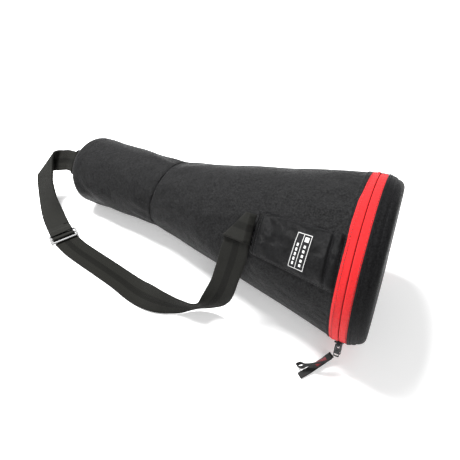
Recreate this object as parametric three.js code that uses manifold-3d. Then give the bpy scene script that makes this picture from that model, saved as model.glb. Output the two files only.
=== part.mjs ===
// Padded carry case for a telescope or tripod with its head: a narrow sleeve, a flare and a
// moulded lid that a ring zipper closes. Millimetres, +Z up, the case lying on the ground with
// its wide end towards +X. Angles round the case's axis start at the front (-Y) and rise
// towards the top (+Z).
import * as THREE from 'three';
import { mergeVertices } from 'three/addons/utils/BufferGeometryUtils.js';
import Module from 'manifold-3d';

const wasm = await Module();
wasm.setup();

// Where the case lies: the middle of its narrow end, seen from above.
const NARROW_END_X = -337.3;
const AXIS_Y = 18.7;

// The case along its own axis, from the narrow end.
const SHOULDER_RADIUS = 18;
const NARROW_RADIUS = 80.5;
const SEAM_X = 250;
const SEAM_RADIUS = 76;
const MOUTH_X = 661;
const MOUTH_RADIUS = 143.5;
const LID_DEPTH = 39;
const LID_FACE_RADIUS = 136.5;
const LID_BEVEL = 14;

// The wall: outer fabric, foam, lining.
const FABRIC = 1.2;
const FOAM = 9;
const LINING = 0.9;
const GAP = 0.3;
const CAP_WALL = 3;
const LID_WALL = 3.5;

// The zipper that runs round the mouth, and the fabric hinge that it leaves open.
const TAPE_RADIUS = 145;
const TAPE_THICKNESS = 2.5;
const TAPE_EDGE = 14;
const COIL_EDGE = 4.9;
const COIL_RADIUS = 145.6;
const HINGE_ANGLE = 143;
const HINGE_HALF = 24;
const SLIDER_ANGLES = [-42, -32];
const PULL_LEANS = [118, 121];

// How the lying case sits: the mouth's and the narrow end's lowest fabric is pressed flat.
const MOUTH_FLAT = 3;
const NARROW_FLAT = 2;
const FLAT_START_X = 23;
const MOUTH_YAW = THREE.MathUtils.degToRad(4.4);
const MOUTH_TILT = THREE.MathUtils.degToRad(-1.6);
const SEAM_LEAN = 0.15;
const SEAM_SKEW = 0.077;

// Webbing and its fittings.
const STRAP_WIDTH = 50;
const STRAP_THICKNESS = 2;
const STRAP_LAYER_GAP = 0.6;
const RING_LENGTH = 62;
const RING_WIDTH = 32;
const RING_WIRE = 5;
const RING_ANGLE = 45;
const RING_RADIUS = 43;
const RING_LOOP_RADIUS = 4.3;
const TAB_LOOP_HEIGHT = 5.9;
const TAB_LOOP_RADIUS = 5.4;
const ADJUSTER_LENGTH = 62;
const ADJUSTER_WIDTH = 30;
const ADJUSTER_THICKNESS = 3.4;
const ADJUSTER_BAR = 5;
const ADJUSTER_HEIGHT = 5.4;
const ADJUSTER_TURN = 65;
const PULL_WIDTH = 11;
const PULL_THICKNESS = 2.4;
const PATCH_WIDTH = 5;
const PATCH_THICKNESS = 0.6;
const PATCH_GAP = 0.6;
// Steps of the pull's webbing between its places, and the two steps the patch runs between.
const PULL_STEPS = 4;
const PATCH_STEPS = [3, 8];

// The anchor panel sewn on the front of the flare, and the label on it.
const PANEL_START_X = 502;
const PANEL_END_X = MOUTH_X - TAPE_EDGE - 1;
const PANEL_ANGLES = [21, 56];
const PANEL_HEIGHT = 6.3;
const LABEL_X = [574, 598];
const LABEL_ANGLES = [26.5, 49];

const ROUND_STEPS = 40;

const narrowBottom = NARROW_RADIUS - NARROW_FLAT;
const mouthBottom = TAPE_RADIUS - MOUTH_FLAT;
const pitch = Math.atan2(mouthBottom - narrowBottom, MOUTH_X - FLAT_START_X);
const narrowHeight = narrowBottom * Math.cos(pitch) - FLAT_START_X * Math.sin(pitch);

const toRadians = THREE.MathUtils.degToRad;
const caseFrame = new THREE.Matrix4()
  .makeTranslation(NARROW_END_X, AXIS_Y, narrowHeight)
  .multiply(new THREE.Matrix4().makeRotationY(-pitch));
const mouthFrame = caseFrame.clone()
  .multiply(new THREE.Matrix4().makeTranslation(MOUTH_X, 0, 0))
  .multiply(new THREE.Matrix4().makeRotationZ(MOUTH_YAW))
  .multiply(new THREE.Matrix4().makeRotationY(MOUTH_TILT));

// ---- materials ----

function finish(color, roughness, metalness = 0) {
  return () => new THREE.MeshStandardMaterial({ color, roughness, metalness });
}

const blackFabric = finish(0x2a2a2b, 0.85);
const moulded = finish(0x262627, 0.7);
const foam = finish(0x55565a, 0.95);
const liningCloth = finish(0x8c8d90, 0.9);
const redTape = finish(0xd8282e, 0.75);
const redCoil = finish(0xc01f26, 0.45);
const webbing = finish(0x363632, 0.8);
const redWebbing = finish(0x8f1a1f, 0.8);
const greyWebbing = finish(0x4a4a4a, 0.8);
const blackMetal = finish(0x1c1c1d, 0.4, 0.6);
const silverMetal = finish(0x9a9b9c, 0.35, 0.9);
const labelCloth = finish(0x3a3a3b, 0.7);

// ---- shapes ----

// A closed body whose faces point out, with no face of zero area.
function solid(geometry) {
  const bare = geometry.clone();
  bare.deleteAttribute('normal');
  bare.deleteAttribute('uv');
  const merged = mergeVertices(bare, 1e-4);
  const position = merged.attributes.position;
  const index = [];
  let volume = 0;
  const corners = [new THREE.Vector3(), new THREE.Vector3(), new THREE.Vector3()];
  for (let i = 0; i < merged.index.count; i += 3) {
    const face = [0, 1, 2].map((k) => merged.index.getX(i + k));
    if (face[0] === face[1] || face[1] === face[2] || face[2] === face[0]) continue;
    face.forEach((vertex, k) => corners[k].fromBufferAttribute(position, vertex));
    volume += corners[0].dot(corners[1].clone().cross(corners[2]));
    index.push(...face);
  }
  if (volume < 0) index.reverse();
  merged.setIndex(index);
  merged.computeVertexNormals();
  return merged;
}

function manifoldOf(geometry) {
  const closed = solid(geometry);
  return new wasm.Manifold(new wasm.Mesh({
    numProp: 3,
    vertProperties: new Float32Array(closed.attributes.position.array),
    triVerts: new Uint32Array(closed.index.array),
  }));
}

function union(...geometries) {
  const joined = geometries.map(manifoldOf).reduce((sum, next) => sum.add(next));
  const mesh = joined.getMesh();
  const geometry = new THREE.BufferGeometry();
  geometry.setAttribute('position', new THREE.BufferAttribute(mesh.vertProperties, 3));
  geometry.setIndex(new THREE.BufferAttribute(mesh.triVerts, 1));
  return solid(geometry);
}

// A profile of [distance along the axis, radius] turned round the X axis.
function turned(profile) {
  const points = profile.map(([along, radius]) => new THREE.Vector2(radius, along));
  return new THREE.LatheGeometry(points, ROUND_STEPS).rotateZ(-Math.PI / 2);
}

function ring(start, end, inner, outer) {
  return turned([[start, inner], [start, outer], [end, outer], [end, inner], [start, inner]]);
}

function arcPoints(centreAlong, centreRadius, radius, from, to, steps) {
  return Array.from({ length: steps + 1 }, (_, i) => {
    const angle = toRadians(from + ((to - from) * i) / steps);
    return [centreAlong + radius * Math.cos(angle), centreRadius + radius * Math.sin(angle)];
  });
}

// The fabric's outer radius at a place along the case.
function outerRadius(along) {
  if (along < SHOULDER_RADIUS) {
    const inward = SHOULDER_RADIUS - along;
    return NARROW_RADIUS - SHOULDER_RADIUS + Math.sqrt(SHOULDER_RADIUS ** 2 - inward ** 2);
  }
  if (along < SEAM_X) {
    const share = (along - SHOULDER_RADIUS) / (SEAM_X - SHOULDER_RADIUS);
    return THREE.MathUtils.lerp(NARROW_RADIUS, SEAM_RADIUS, share);
  }
  const share = (along - SEAM_X) / (MOUTH_X - TAPE_EDGE - SEAM_X);
  return THREE.MathUtils.lerp(SEAM_RADIUS, MOUTH_RADIUS, Math.min(share, 1));
}

// A layer of the wall between two places, from depth below the outer face, so thick.
function layer(start, end, depth, thickness) {
  const outside = [[start, outerRadius(start) - depth], [end, outerRadius(end) - depth]];
  const inside = outside.map(([along, radius]) => [along, radius - thickness]).reverse();
  return turned([...outside, ...inside, outside[0]]);
}

// Cross-sections lean a little where the sleeve is sewn to the flare and at the mouth.
function leanSections(geometry) {
  const position = geometry.attributes.position;
  const mouthLean = Math.tan(MOUTH_TILT);
  const mouthSkew = -Math.tan(MOUTH_YAW);
  const mouthStart = MOUTH_X - 60;
  for (let i = 0; i < position.count; i += 1) {
    const along = position.getX(i);
    const toSeam = THREE.MathUtils.clamp(along / SEAM_X, 0, 1);
    const toMouth = THREE.MathUtils.clamp((along - SEAM_X) / (mouthStart - SEAM_X), 0, 1);
    const lean = THREE.MathUtils.lerp(SEAM_LEAN * toSeam, mouthLean, toMouth);
    const skew = THREE.MathUtils.lerp(SEAM_SKEW * toSeam, mouthSkew, toMouth);
    position.setX(i, along + lean * position.getZ(i) + skew * position.getY(i));
  }
  return geometry;
}

// The ground presses the lowest fabric flat; each layer stays its own depth above the ground.
function pressFlat(geometry, frame, height) {
  const position = geometry.attributes.position;
  const inverse = frame.clone().invert();
  const point = new THREE.Vector3();
  for (let i = 0; i < position.count; i += 1) {
    point.fromBufferAttribute(position, i).applyMatrix4(frame);
    point.z = Math.max(point.z, height);
    point.applyMatrix4(inverse);
    position.setXYZ(i, point.x, point.y, point.z);
  }
  return geometry;
}

function caseShell(geometry, depth) {
  return pressFlat(leanSections(geometry), caseFrame, depth);
}

// Axes of a shape drawn across the case: its X to the back, its Y up, its depth along +X.
const acrossCase = new THREE.Matrix4().makeBasis(
  new THREE.Vector3(0, -1, 0),
  new THREE.Vector3(0, 0, 1),
  new THREE.Vector3(1, 0, 0),
);

// A band round the mouth between two angles, from one place to another along the axis.
function mouthBand(start, end, inner, outer, fromAngle, toAngle, steps) {
  const shape = new THREE.Shape();
  shape.absarc(0, 0, outer, toRadians(fromAngle), toRadians(toAngle), false);
  shape.absarc(0, 0, inner, toRadians(toAngle), toRadians(fromAngle), true);
  shape.closePath();
  const band = new THREE.ExtrudeGeometry(shape, {
    depth: end - start,
    bevelEnabled: false,
    curveSegments: steps,
  });
  band.translate(0, 0, start);
  return pressFlat(band.applyMatrix4(acrossCase), mouthFrame, 0);
}

function zipperBand(start, end, inner, outer) {
  return mouthBand(start, end, inner, outer,
    HINGE_ANGLE + HINGE_HALF - 360, HINGE_ANGLE - HINGE_HALF, 44);
}

// A block laid on the flare: along the axis, round it, and out from the fabric.
function onFlare(xRange, angles, heights, leanPerAngle = 0) {
  const block = new THREE.BoxGeometry(1, 1, 1, 6, 8, 1);
  const position = block.attributes.position;
  for (let i = 0; i < position.count; i += 1) {
    const angle = THREE.MathUtils.lerp(...angles, position.getY(i) + 0.5);
    const along = THREE.MathUtils.lerp(...xRange, position.getX(i) + 0.5)
      + leanPerAngle * (angle - (angles[0] + angles[1]) / 2);
    const radius = outerRadius(along) + THREE.MathUtils.lerp(...heights, position.getZ(i) + 0.5);
    const turn = toRadians(angle);
    position.setXYZ(i, along, -radius * Math.cos(turn), radius * Math.sin(turn));
  }
  return leanSections(block);
}

// A stretch of webbing along a route of [x, y, z] places with the [x, y, z] way across it at
// each. It says where the point is that lies so far across and so high on the webbing.
function routeStretch(route, stepsPerPlace = 2) {
  const middle = new THREE.CatmullRomCurve3(route.map(([at]) => new THREE.Vector3(...at)));
  const sideways = new THREE.CatmullRomCurve3(route.map(([, way]) => new THREE.Vector3(...way)));
  const point = (share, across, height) => {
    const forward = middle.getTangent(share);
    const side = sideways.getPoint(share);
    side.addScaledVector(forward, -side.dot(forward)).normalize();
    const up = new THREE.Vector3().crossVectors(forward, side);
    return middle.getPoint(share).addScaledVector(side, across).addScaledVector(up, height);
  };
  return { point, steps: (route.length - 1) * stepsPerPlace };
}

// Flat webbing through its stretches, each a number of steps and a rule that places its points.
function webbingStrip(stretches, width, thickness, layerHeight = 0, stepsAcross = 1) {
  const steps = stretches.reduce((sum, stretch) => sum + stretch.steps, 0);
  const strip = new THREE.BoxGeometry(steps, width, thickness, steps, stepsAcross, 1);
  const position = strip.attributes.position;
  for (let i = 0; i < position.count; i += 1) {
    let station = Math.round(position.getX(i) + steps / 2);
    let stretch = stretches[0];
    for (let next = 1; station > stretch.steps && next < stretches.length; next += 1) {
      station -= stretch.steps;
      stretch = stretches[next];
    }
    const share = station / stretch.steps;
    const point = stretch.point(share, position.getY(i), position.getZ(i) + layerHeight);
    position.setXYZ(i, point.x, point.y, point.z);
  }
  return strip;
}

function roundedRectangle(target, width, height, corner) {
  const x = width / 2 - corner;
  const y = height / 2 - corner;
  target.absarc(x, y, corner, 0, Math.PI / 2, false);
  target.absarc(-x, y, corner, Math.PI / 2, Math.PI, false);
  target.absarc(-x, -y, corner, Math.PI, Math.PI * 1.5, false);
  target.absarc(x, -y, corner, Math.PI * 1.5, Math.PI * 2, false);
  target.closePath();
  return target;
}

// ---- the case's wall ----

const CAP_EDGE_X = SHOULDER_RADIUS + 1.7;
const SLEEVE_START = CAP_EDGE_X + GAP;
const FLARE_START = SEAM_X + GAP;
const FLARE_END = MOUTH_X - TAPE_EDGE - GAP;
const FOAM_END = MOUTH_X - 6;
const FOAM_DEPTH = FABRIC + GAP;
const LINING_DEPTH = FOAM_DEPTH + FOAM + GAP;

function narrowEndCap() {
  const centre = NARROW_RADIUS - SHOULDER_RADIUS;
  const outside = arcPoints(SHOULDER_RADIUS, centre, SHOULDER_RADIUS, 180, 90, 6);
  const inside = arcPoints(SHOULDER_RADIUS, centre, SHOULDER_RADIUS - CAP_WALL, 90, 180, 6);
  return turned([
    [0, 0], ...outside,
    [CAP_EDGE_X, outerRadius(CAP_EDGE_X)],
    [CAP_EDGE_X, outerRadius(CAP_EDGE_X) - CAP_WALL],
    ...inside, [CAP_WALL, 0],
  ]);
}

const END_FOAM_RADII = [54, 60];
const END_FOAM_DEPTH = 10;

function narrowEndFoam() {
  const start = CAP_WALL + GAP;
  const end = start + END_FOAM_DEPTH;
  return turned([[start, 0], [start, END_FOAM_RADII[0]], [end, END_FOAM_RADII[1]], [end, 0]]);
}

function foamFlare() {
  const nearMouth = MOUTH_X - TAPE_EDGE - 1;
  const foamRadius = outerRadius(nearMouth) - FOAM_DEPTH - 1;
  return turned([
    [FLARE_START, SEAM_RADIUS - FOAM_DEPTH],
    [nearMouth, foamRadius],
    [FOAM_END, foamRadius],
    [FOAM_END, foamRadius - FOAM],
    [nearMouth, foamRadius - FOAM],
    [FLARE_START, SEAM_RADIUS - FOAM_DEPTH - FOAM],
    [FLARE_START, SEAM_RADIUS - FOAM_DEPTH],
  ]);
}

// One pocket of cloth, open at the mouth.
function lining() {
  const bottom = CAP_WALL + GAP + 10 + GAP;
  const nearMouth = MOUTH_X - TAPE_EDGE - 1;
  const outside = [
    [bottom, 0],
    [bottom, 56],
    [SLEEVE_START + 4, outerRadius(SLEEVE_START) - LINING_DEPTH],
    [SEAM_X, SEAM_RADIUS - LINING_DEPTH],
    [nearMouth, outerRadius(nearMouth) - LINING_DEPTH - 1],
    [FOAM_END, outerRadius(nearMouth) - LINING_DEPTH - 1],
  ];
  const inside = outside.map(([along, radius], i) => [
    along + (i < 2 ? LINING : 0),
    Math.max(radius - (i > 0 ? LINING : 0), 0),
  ]);
  return turned([...outside, ...inside.reverse()]);
}

function mouthBinding() {
  const outer = outerRadius(MOUTH_X - TAPE_EDGE) - FOAM_DEPTH - 1;
  return ring(FOAM_END + GAP, FOAM_END + 2.6, outer - FOAM - LINING, outer);
}

// ---- the lid, measured from the zipper's middle ----

const LID_INSET = 2.5;

function lidShell() {
  const step = TAPE_EDGE + GAP;
  const underTape = TAPE_RADIUS - TAPE_THICKNESS - 1.3;
  const corner = [LID_DEPTH - LID_BEVEL, LID_FACE_RADIUS - LID_BEVEL];
  const rim = [LID_DEPTH - LID_BEVEL, MOUTH_RADIUS - LID_INSET];
  const outside = arcPoints(corner[0], corner[1] + 4, LID_BEVEL, 85, 0, 5);
  const inside = arcPoints(corner[0], corner[1] + 4, LID_BEVEL - LID_WALL, 0, 85, 5);
  return turned([
    [LID_DEPTH, 0],
    ...outside.reverse(),
    rim, [step, MOUTH_RADIUS], [step, underTape], [3, underTape],
    [3, underTape - LID_WALL], [rim[0] - 2, underTape - LID_WALL],
    ...inside.reverse(),
    [LID_DEPTH - LID_WALL, 0],
  ]);
}

const LID_FOAM_RADII = [120, 118];

function lidFoam() {
  const end = LID_DEPTH - LID_WALL - GAP;
  const start = end - FOAM;
  return turned([[start, 0], [start, LID_FOAM_RADII[0]], [end, LID_FOAM_RADII[1]], [end, 0]]);
}

function lidLining() {
  const face = LID_DEPTH - LID_WALL - GAP - FOAM - GAP;
  const wall = TAPE_RADIUS - TAPE_THICKNESS - 1.3 - LID_WALL - GAP;
  return turned([
    [face, 0], [face, wall - 12], [face - 6, wall], [4, wall],
    [4, wall - LINING], [face - 6 - LINING / 2, wall - LINING], [face - LINING, wall - 12 - LINING / 2],
    [face - LINING, 0],
  ]);
}

// ---- the zipper ----

function hingePanel() {
  const half = HINGE_HALF - 0.3;
  return mouthBand(-TAPE_EDGE, TAPE_EDGE, TAPE_RADIUS - TAPE_THICKNESS, TAPE_RADIUS,
    HINGE_ANGLE - half, HINGE_ANGLE + half, 8);
}

const STOP_WIDTH = 4.2;
const STOP_LENGTH = 5;
const STOP_HEIGHT = 1.4;

function endStop() {
  return new THREE.BoxGeometry(STOP_WIDTH, STOP_LENGTH, STOP_HEIGHT);
}

const SLIDER_LENGTH = 20;
const SLIDER_PLATE = 3;
const SLIDER_BASE = COIL_RADIUS + 0.5;
const BRIDGE_WIDTH = 3.6;
const PIVOT_HEIGHT = SLIDER_PLATE + 1.9;

// Half widths of the plate at its middle, nose and tail, and where its sides start and end.
const PLATE_HALF = 6.5;
const NOSE_HALF = 4.5;
const TAIL_HALF = 3.5;
const PLATE_SIDES = [-2, 8];
// The bridge's half span and height, outside and inside, and how far its top is flat.
const BRIDGE_OUTSIDE = { half: 8, height: 5.8, flat: 3.5 };
const BRIDGE_INSIDE = { half: 5, height: 3.8, flat: 2.5 };

function bridgeOutline(path, size, foot) {
  path.moveTo(size.half, foot);
  path.quadraticCurveTo(size.half - 0.4, size.height, size.flat, size.height);
  path.lineTo(-size.flat, size.height);
  path.quadraticCurveTo(-size.half + 0.4, size.height, -size.half, foot);
  path.closePath();
  return path;
}

// Base plate and bridge. Its travel is along Y, the case's axis along X, out of the case +Z.
function slider() {
  const plate = new THREE.Shape();
  plate.moveTo(-PLATE_HALF, PLATE_SIDES[1]);
  plate.lineTo(-PLATE_HALF, PLATE_SIDES[0]);
  plate.lineTo(-NOSE_HALF, -SLIDER_LENGTH / 2);
  plate.lineTo(NOSE_HALF, -SLIDER_LENGTH / 2);
  plate.lineTo(PLATE_HALF, PLATE_SIDES[0]);
  plate.lineTo(PLATE_HALF, PLATE_SIDES[1]);
  plate.lineTo(TAIL_HALF, SLIDER_LENGTH / 2);
  plate.lineTo(-TAIL_HALF, SLIDER_LENGTH / 2);
  plate.closePath();
  const base = new THREE.ExtrudeGeometry(plate, { depth: SLIDER_PLATE, bevelEnabled: false });
  const arch = bridgeOutline(new THREE.Shape(), BRIDGE_OUTSIDE, 0);
  arch.holes.push(bridgeOutline(new THREE.Path(), BRIDGE_INSIDE, 0.5));
  const bridge = new THREE.ExtrudeGeometry(arch, {
    depth: BRIDGE_WIDTH,
    bevelEnabled: false,
    curveSegments: 4,
  });
  bridge.translate(0, 0, -BRIDGE_WIDTH / 2);
  bridge.applyMatrix4(new THREE.Matrix4().makeBasis(
    new THREE.Vector3(0, 1, 0),
    new THREE.Vector3(0, 0, 1),
    new THREE.Vector3(1, 0, 0),
  ));
  bridge.translate(0, 0, SLIDER_PLATE - 0.5);
  return union(base, bridge);
}

const TAB_LENGTH = 22;
const TAB_WIDTH = 9.6;
const TAB_THICKNESS = 1.6;
const TAB_CORNER = 1.6;
// The window the bridge passes through, the slot for the webbing, and their middles from each end.
const TAB_WINDOW = [5.6, 9.6];
const TAB_SLOT = [7.4, 3.4];
const WINDOW_FROM_END = 6.3;
const SLOT_FROM_END = 3;
const HOLE_CORNER = 0.8;

// The metal tab: its end bar passes through the bridge and turns about X, and it points to +Y.
function pullTab() {
  const outline = roundedRectangle(new THREE.Shape(), TAB_WIDTH, TAB_LENGTH + 1, TAB_CORNER);
  const window = roundedRectangle(new THREE.Path(), TAB_WINDOW[0], TAB_WINDOW[1], HOLE_CORNER);
  const slot = roundedRectangle(new THREE.Path(), TAB_SLOT[0], TAB_SLOT[1], HOLE_CORNER);
  const place = (path, y) => path.getPoints(3).map((p) => new THREE.Vector2(p.x, p.y + y));
  outline.holes.push(new THREE.Path(place(window, WINDOW_FROM_END - TAB_LENGTH / 2)));
  outline.holes.push(new THREE.Path(place(slot, TAB_LENGTH / 2 - SLOT_FROM_END)));
  const tab = new THREE.ExtrudeGeometry(outline, {
    depth: TAB_THICKNESS,
    bevelEnabled: false,
    curveSegments: 3,
  });
  return tab.translate(0, TAB_LENGTH / 2 - 0.4, -TAB_THICKNESS / 2);
}

// ---- the strap and its fittings ----

// Places down the middle of the strap and the way from its outer to its inner edge, from below
// the fold near the ring, over the ground, to the anchor panel. X is from the narrow end.
const STRAP_ROUTE = [
  [[-63, -116, 25], [0.8, 0.5, 0.33]],
  [[-32, -135, 8.5], [0.62, 0.76, 0.12]],
  [[5, -153, 2.6], [0.48, 0.88, 0]],
  [[42, -168, 2.2], [0.42, 0.91, 0]],
  [[88, -178, 2.2], [0.3, 0.95, 0]],
  [[135, -182, 2.2], [0.02, 1, 0]],
  [[185, -185, 2.2], [-0.06, 1, 0]],
  [[240, -189, 2.4], [-0.05, 1, 0]],
  [[290, -196, 8.5], [0, 0.97, 0.26]],
  [[332, -199, 19], [0, 0.72, 0.68]],
  [[366, -196, 25.5], [0, 0.35, 0.94]],
  [[394, -188, 26.5], [0.05, 0, 1]],
  [[418, -175, 27], [0.2, -0.3, 0.93]],
  [[437, -163, 32], [-0.25, -0.5, 0.83]],
  [[451, -152, 48], [-0.75, -0.3, 0.6]],
  [[461, -142, 76], [-0.96, 0, 0.2]],
  [[466, -133, 108], [-1, 0, 0]],
  [[470, -122, 140], [-0.97, -0.1, -0.15]],
];
// The doubled strap lies flat up to this many places along; then its end climbs the adjuster.
const DOUBLED_PLACES = 3;
const ADJUSTER_PLACE = 3;

// The case's surface beside the anchor panel: the way along it and the way up it.
const SIDE_ALONG = new THREE.Vector3(0.971, -0.131, 0.199).normalize();
const SIDE_UP = new THREE.Vector3(-0.075, 0.624, 0.777).normalize();

function wayOnSide(angle) {
  const turn = toRadians(angle);
  return SIDE_ALONG.clone().multiplyScalar(Math.cos(turn)).addScaledVector(SIDE_UP, Math.sin(turn));
}

// A slanted fold: the flat webbing's middle, the ways along and across it as it comes to the fold,
// the fold's radius, the angle its way turns through, and the side of it that it folds to.
function slantedFold(centre, along, across, radius, angle, side) {
  const half = toRadians(angle / 2);
  const reach = (STRAP_WIDTH / 2) * Math.cos(half);
  return {
    centre: new THREE.Vector3(...centre),
    along,
    across,
    radius,
    half,
    side,
    start: -reach / Math.sin(half) - 1,
    end: (Math.PI * radius + reach) / Math.sin(half) + 1,
  };
}

// Near the ring the strap folds under itself, towards the front.
const RING_FOLD_ALONG = new THREE.Vector3(-0.93, -0.24, -0.27).normalize();
const RING_FOLD_ACROSS = new THREE.Vector3(0, 0.75, -0.66).cross(RING_FOLD_ALONG).normalize();
const RING_FOLD = slantedFold([-94.5, -40, 90.5], RING_FOLD_ALONG, RING_FOLD_ACROSS, 8, 90, -1);
// At the anchor panel it folds over itself, from hanging down the case's side to lying along it.
const PANEL_FOLD_LEAN = 110;
const PANEL_FOLD = slantedFold(
  [461, -93.5, 191.5],
  wayOnSide(PANEL_FOLD_LEAN),
  wayOnSide(PANEL_FOLD_LEAN + 90),
  4,
  PANEL_FOLD_LEAN,
  1,
);
const PANEL_END = [[494, -93.8, 204.5], [0.075, -0.624, -0.777]];
const FOLD_STEPS = 24;

const ringTurn = toRadians(RING_ANGLE);
const ringAcross = new THREE.Vector3(0, Math.sin(ringTurn), Math.cos(ringTurn));
const ringFace = new THREE.Vector3(0, -Math.cos(ringTurn), Math.sin(ringTurn));
const ringFoot = new THREE.Vector3(0, -RING_RADIUS * Math.cos(ringTurn), RING_RADIUS * Math.sin(ringTurn));

// The ring's place: its inner bar stands off the end face, and it points away from the case.
const ringFrame = caseFrame.clone()
  .multiply(new THREE.Matrix4().makeTranslation(-TAB_LOOP_HEIGHT - GAP, ringFoot.y, ringFoot.z))
  .multiply(new THREE.Matrix4().makeBasis(
    ringAcross,
    new THREE.Vector3(-1, 0, 0),
    new THREE.Vector3().crossVectors(ringAcross, new THREE.Vector3(-1, 0, 0)),
  ));

function strapRing() {
  const outline = roundedRectangle(new THREE.Shape(), RING_LENGTH, RING_WIDTH, 6);
  outline.holes.push(roundedRectangle(
    new THREE.Path(),
    RING_LENGTH - 2 * RING_WIRE,
    RING_WIDTH - 2 * RING_WIRE,
    2,
  ));
  const frame = new THREE.ExtrudeGeometry(outline, {
    depth: RING_WIRE - 2,
    bevelThickness: 1,
    bevelSize: 1,
    bevelOffset: -1,
    bevelSegments: 1,
    curveSegments: 4,
  });
  return frame.translate(0, RING_WIDTH / 2 - RING_WIRE / 2, -RING_WIRE / 2 + 1);
}

// A strip of webbing sewn to the end face and looped round the ring's inner bar.
function ringTab() {
  const shape = new THREE.Shape();
  shape.moveTo(36, 3.2);
  shape.absarc(0, TAB_LOOP_HEIGHT, TAB_LOOP_RADIUS, -0.5, Math.PI * 1.5, false);
  shape.lineTo(36, TAB_LOOP_HEIGHT - TAB_LOOP_RADIUS);
  shape.closePath();
  const eye = new THREE.Path();
  eye.absarc(0, TAB_LOOP_HEIGHT, TAB_LOOP_RADIUS - 1.7, 0, Math.PI * 2, true);
  shape.holes.push(eye);
  const strip = new THREE.ExtrudeGeometry(shape, {
    depth: STRAP_WIDTH - 1,
    bevelEnabled: false,
    curveSegments: 10,
  });
  strip.translate(0, 0, -(STRAP_WIDTH - 1) / 2);
  const inward = ringFace.clone().negate();
  strip.applyMatrix4(new THREE.Matrix4().makeBasis(inward, new THREE.Vector3(-1, 0, 0), ringAcross));
  return strip.translate(-GAP, ringFoot.y, ringFoot.z);
}

// A point of the folded strap: so far along and across the flat webbing, and so high on it.
function foldPoint(fold, along, across, height) {
  const cos = Math.cos(fold.half);
  const sin = Math.sin(fold.half);
  const up = new THREE.Vector3().crossVectors(fold.along, fold.across);
  const crease = fold.along.clone().multiplyScalar(cos).addScaledVector(fold.across, -sin);
  const beyond = fold.along.clone().multiplyScalar(sin).addScaledVector(fold.across, cos);
  const distance = along * sin + across * cos;
  const turn = THREE.MathUtils.clamp(distance / fold.radius, 0, Math.PI);
  const straight = distance - turn * fold.radius;
  const radius = fold.radius - fold.side * height;
  return fold.centre.clone()
    .addScaledVector(crease, along * cos - across * sin)
    .addScaledVector(beyond, radius * Math.sin(turn) + straight * Math.cos(turn))
    .addScaledVector(up, fold.side * (fold.radius - radius * Math.cos(turn)));
}

function foldPlace(fold, along, height = 0) {
  const side = foldPoint(fold, along, 5, height).sub(foldPoint(fold, along, -5, height));
  return [foldPoint(fold, along, 0, height).toArray(), side.normalize().toArray()];
}

function foldStretch(fold) {
  return {
    steps: FOLD_STEPS,
    point: (share, across, height) => (
      foldPoint(fold, THREE.MathUtils.lerp(fold.start, fold.end, share), across, height)
    ),
  };
}

// Where the strap's middle is as it turns round the ring's outer bar, at an angle from behind.
function ringPlace(angle, reach = 0) {
  const toCase = new THREE.Matrix4().makeTranslation(-NARROW_END_X, -AXIS_Y, 0).multiply(ringFrame);
  const turn = toRadians(angle);
  const at = new THREE.Vector3(
    0,
    RING_WIDTH - RING_WIRE - RING_LOOP_RADIUS * Math.cos(turn) + reach,
    RING_LOOP_RADIUS * Math.sin(turn),
  ).applyMatrix4(toCase);
  return [at.toArray(), new THREE.Vector3(1, 0, 0).transformDirection(toCase).toArray()];
}

function strapRun() {
  const fromRing = [-90, -45, 0, 45, 90].map((angle) => ringPlace(angle));
  fromRing.push(foldPlace(RING_FOLD, RING_FOLD.start - 8), foldPlace(RING_FOLD, RING_FOLD.start));
  const toPanel = [foldPlace(RING_FOLD, RING_FOLD.end), foldPlace(RING_FOLD, RING_FOLD.end + 8)];
  toPanel.push(...STRAP_ROUTE, foldPlace(PANEL_FOLD, PANEL_FOLD.start - 8));
  toPanel.push(foldPlace(PANEL_FOLD, PANEL_FOLD.start));
  const underPanel = [PANEL_FOLD.end, PANEL_FOLD.end + 3].map((along) => foldPlace(PANEL_FOLD, along));
  underPanel.push(PANEL_END);
  return webbingStrip(
    [
      routeStretch(fromRing),
      foldStretch(RING_FOLD),
      routeStretch(toPanel),
      foldStretch(PANEL_FOLD),
      routeStretch(underPanel),
    ],
    STRAP_WIDTH,
    STRAP_THICKNESS,
    0,
    8,
  );
}

function raised(stretch, layer) {
  return {
    steps: stretch.steps,
    point: (share, across, height) => stretch.point(share, across, height + layer),
  };
}

// The strap's end goes back along it from the ring and over the adjuster's rear bar.
function strapReturn() {
  const layer = STRAP_THICKNESS + STRAP_LAYER_GAP;
  const fold = RING_FOLD;
  const fromRing = [ringPlace(-90, 3)];
  fromRing.push(foldPlace(fold, fold.start - 8, layer), foldPlace(fold, fold.start, layer));
  const lying = [foldPlace(fold, fold.end), foldPlace(fold, fold.end + 8)];
  lying.push(...STRAP_ROUTE.slice(0, DOUBLED_PLACES));
  const [start, startWay] = lying.at(-1);
  const [place, placeWay] = STRAP_ROUTE[ADJUSTER_PLACE];
  const climb = [[-27, 8], [-20, 10.8], [-12, 11.2], [-7.5, 11.2]].map(([back, height]) => (
    [[place[0] + 0.93 * back, place[1] - 0.37 * back, height], placeWay]
  ));
  return webbingStrip(
    [
      routeStretch(fromRing),
      raised(foldStretch(fold), layer),
      raised(routeStretch(lying), layer),
      routeStretch([[[start[0], start[1], start[2] + layer], startWay], ...climb]),
    ],
    STRAP_WIDTH,
    STRAP_THICKNESS,
    0,
    8,
  );
}

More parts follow.
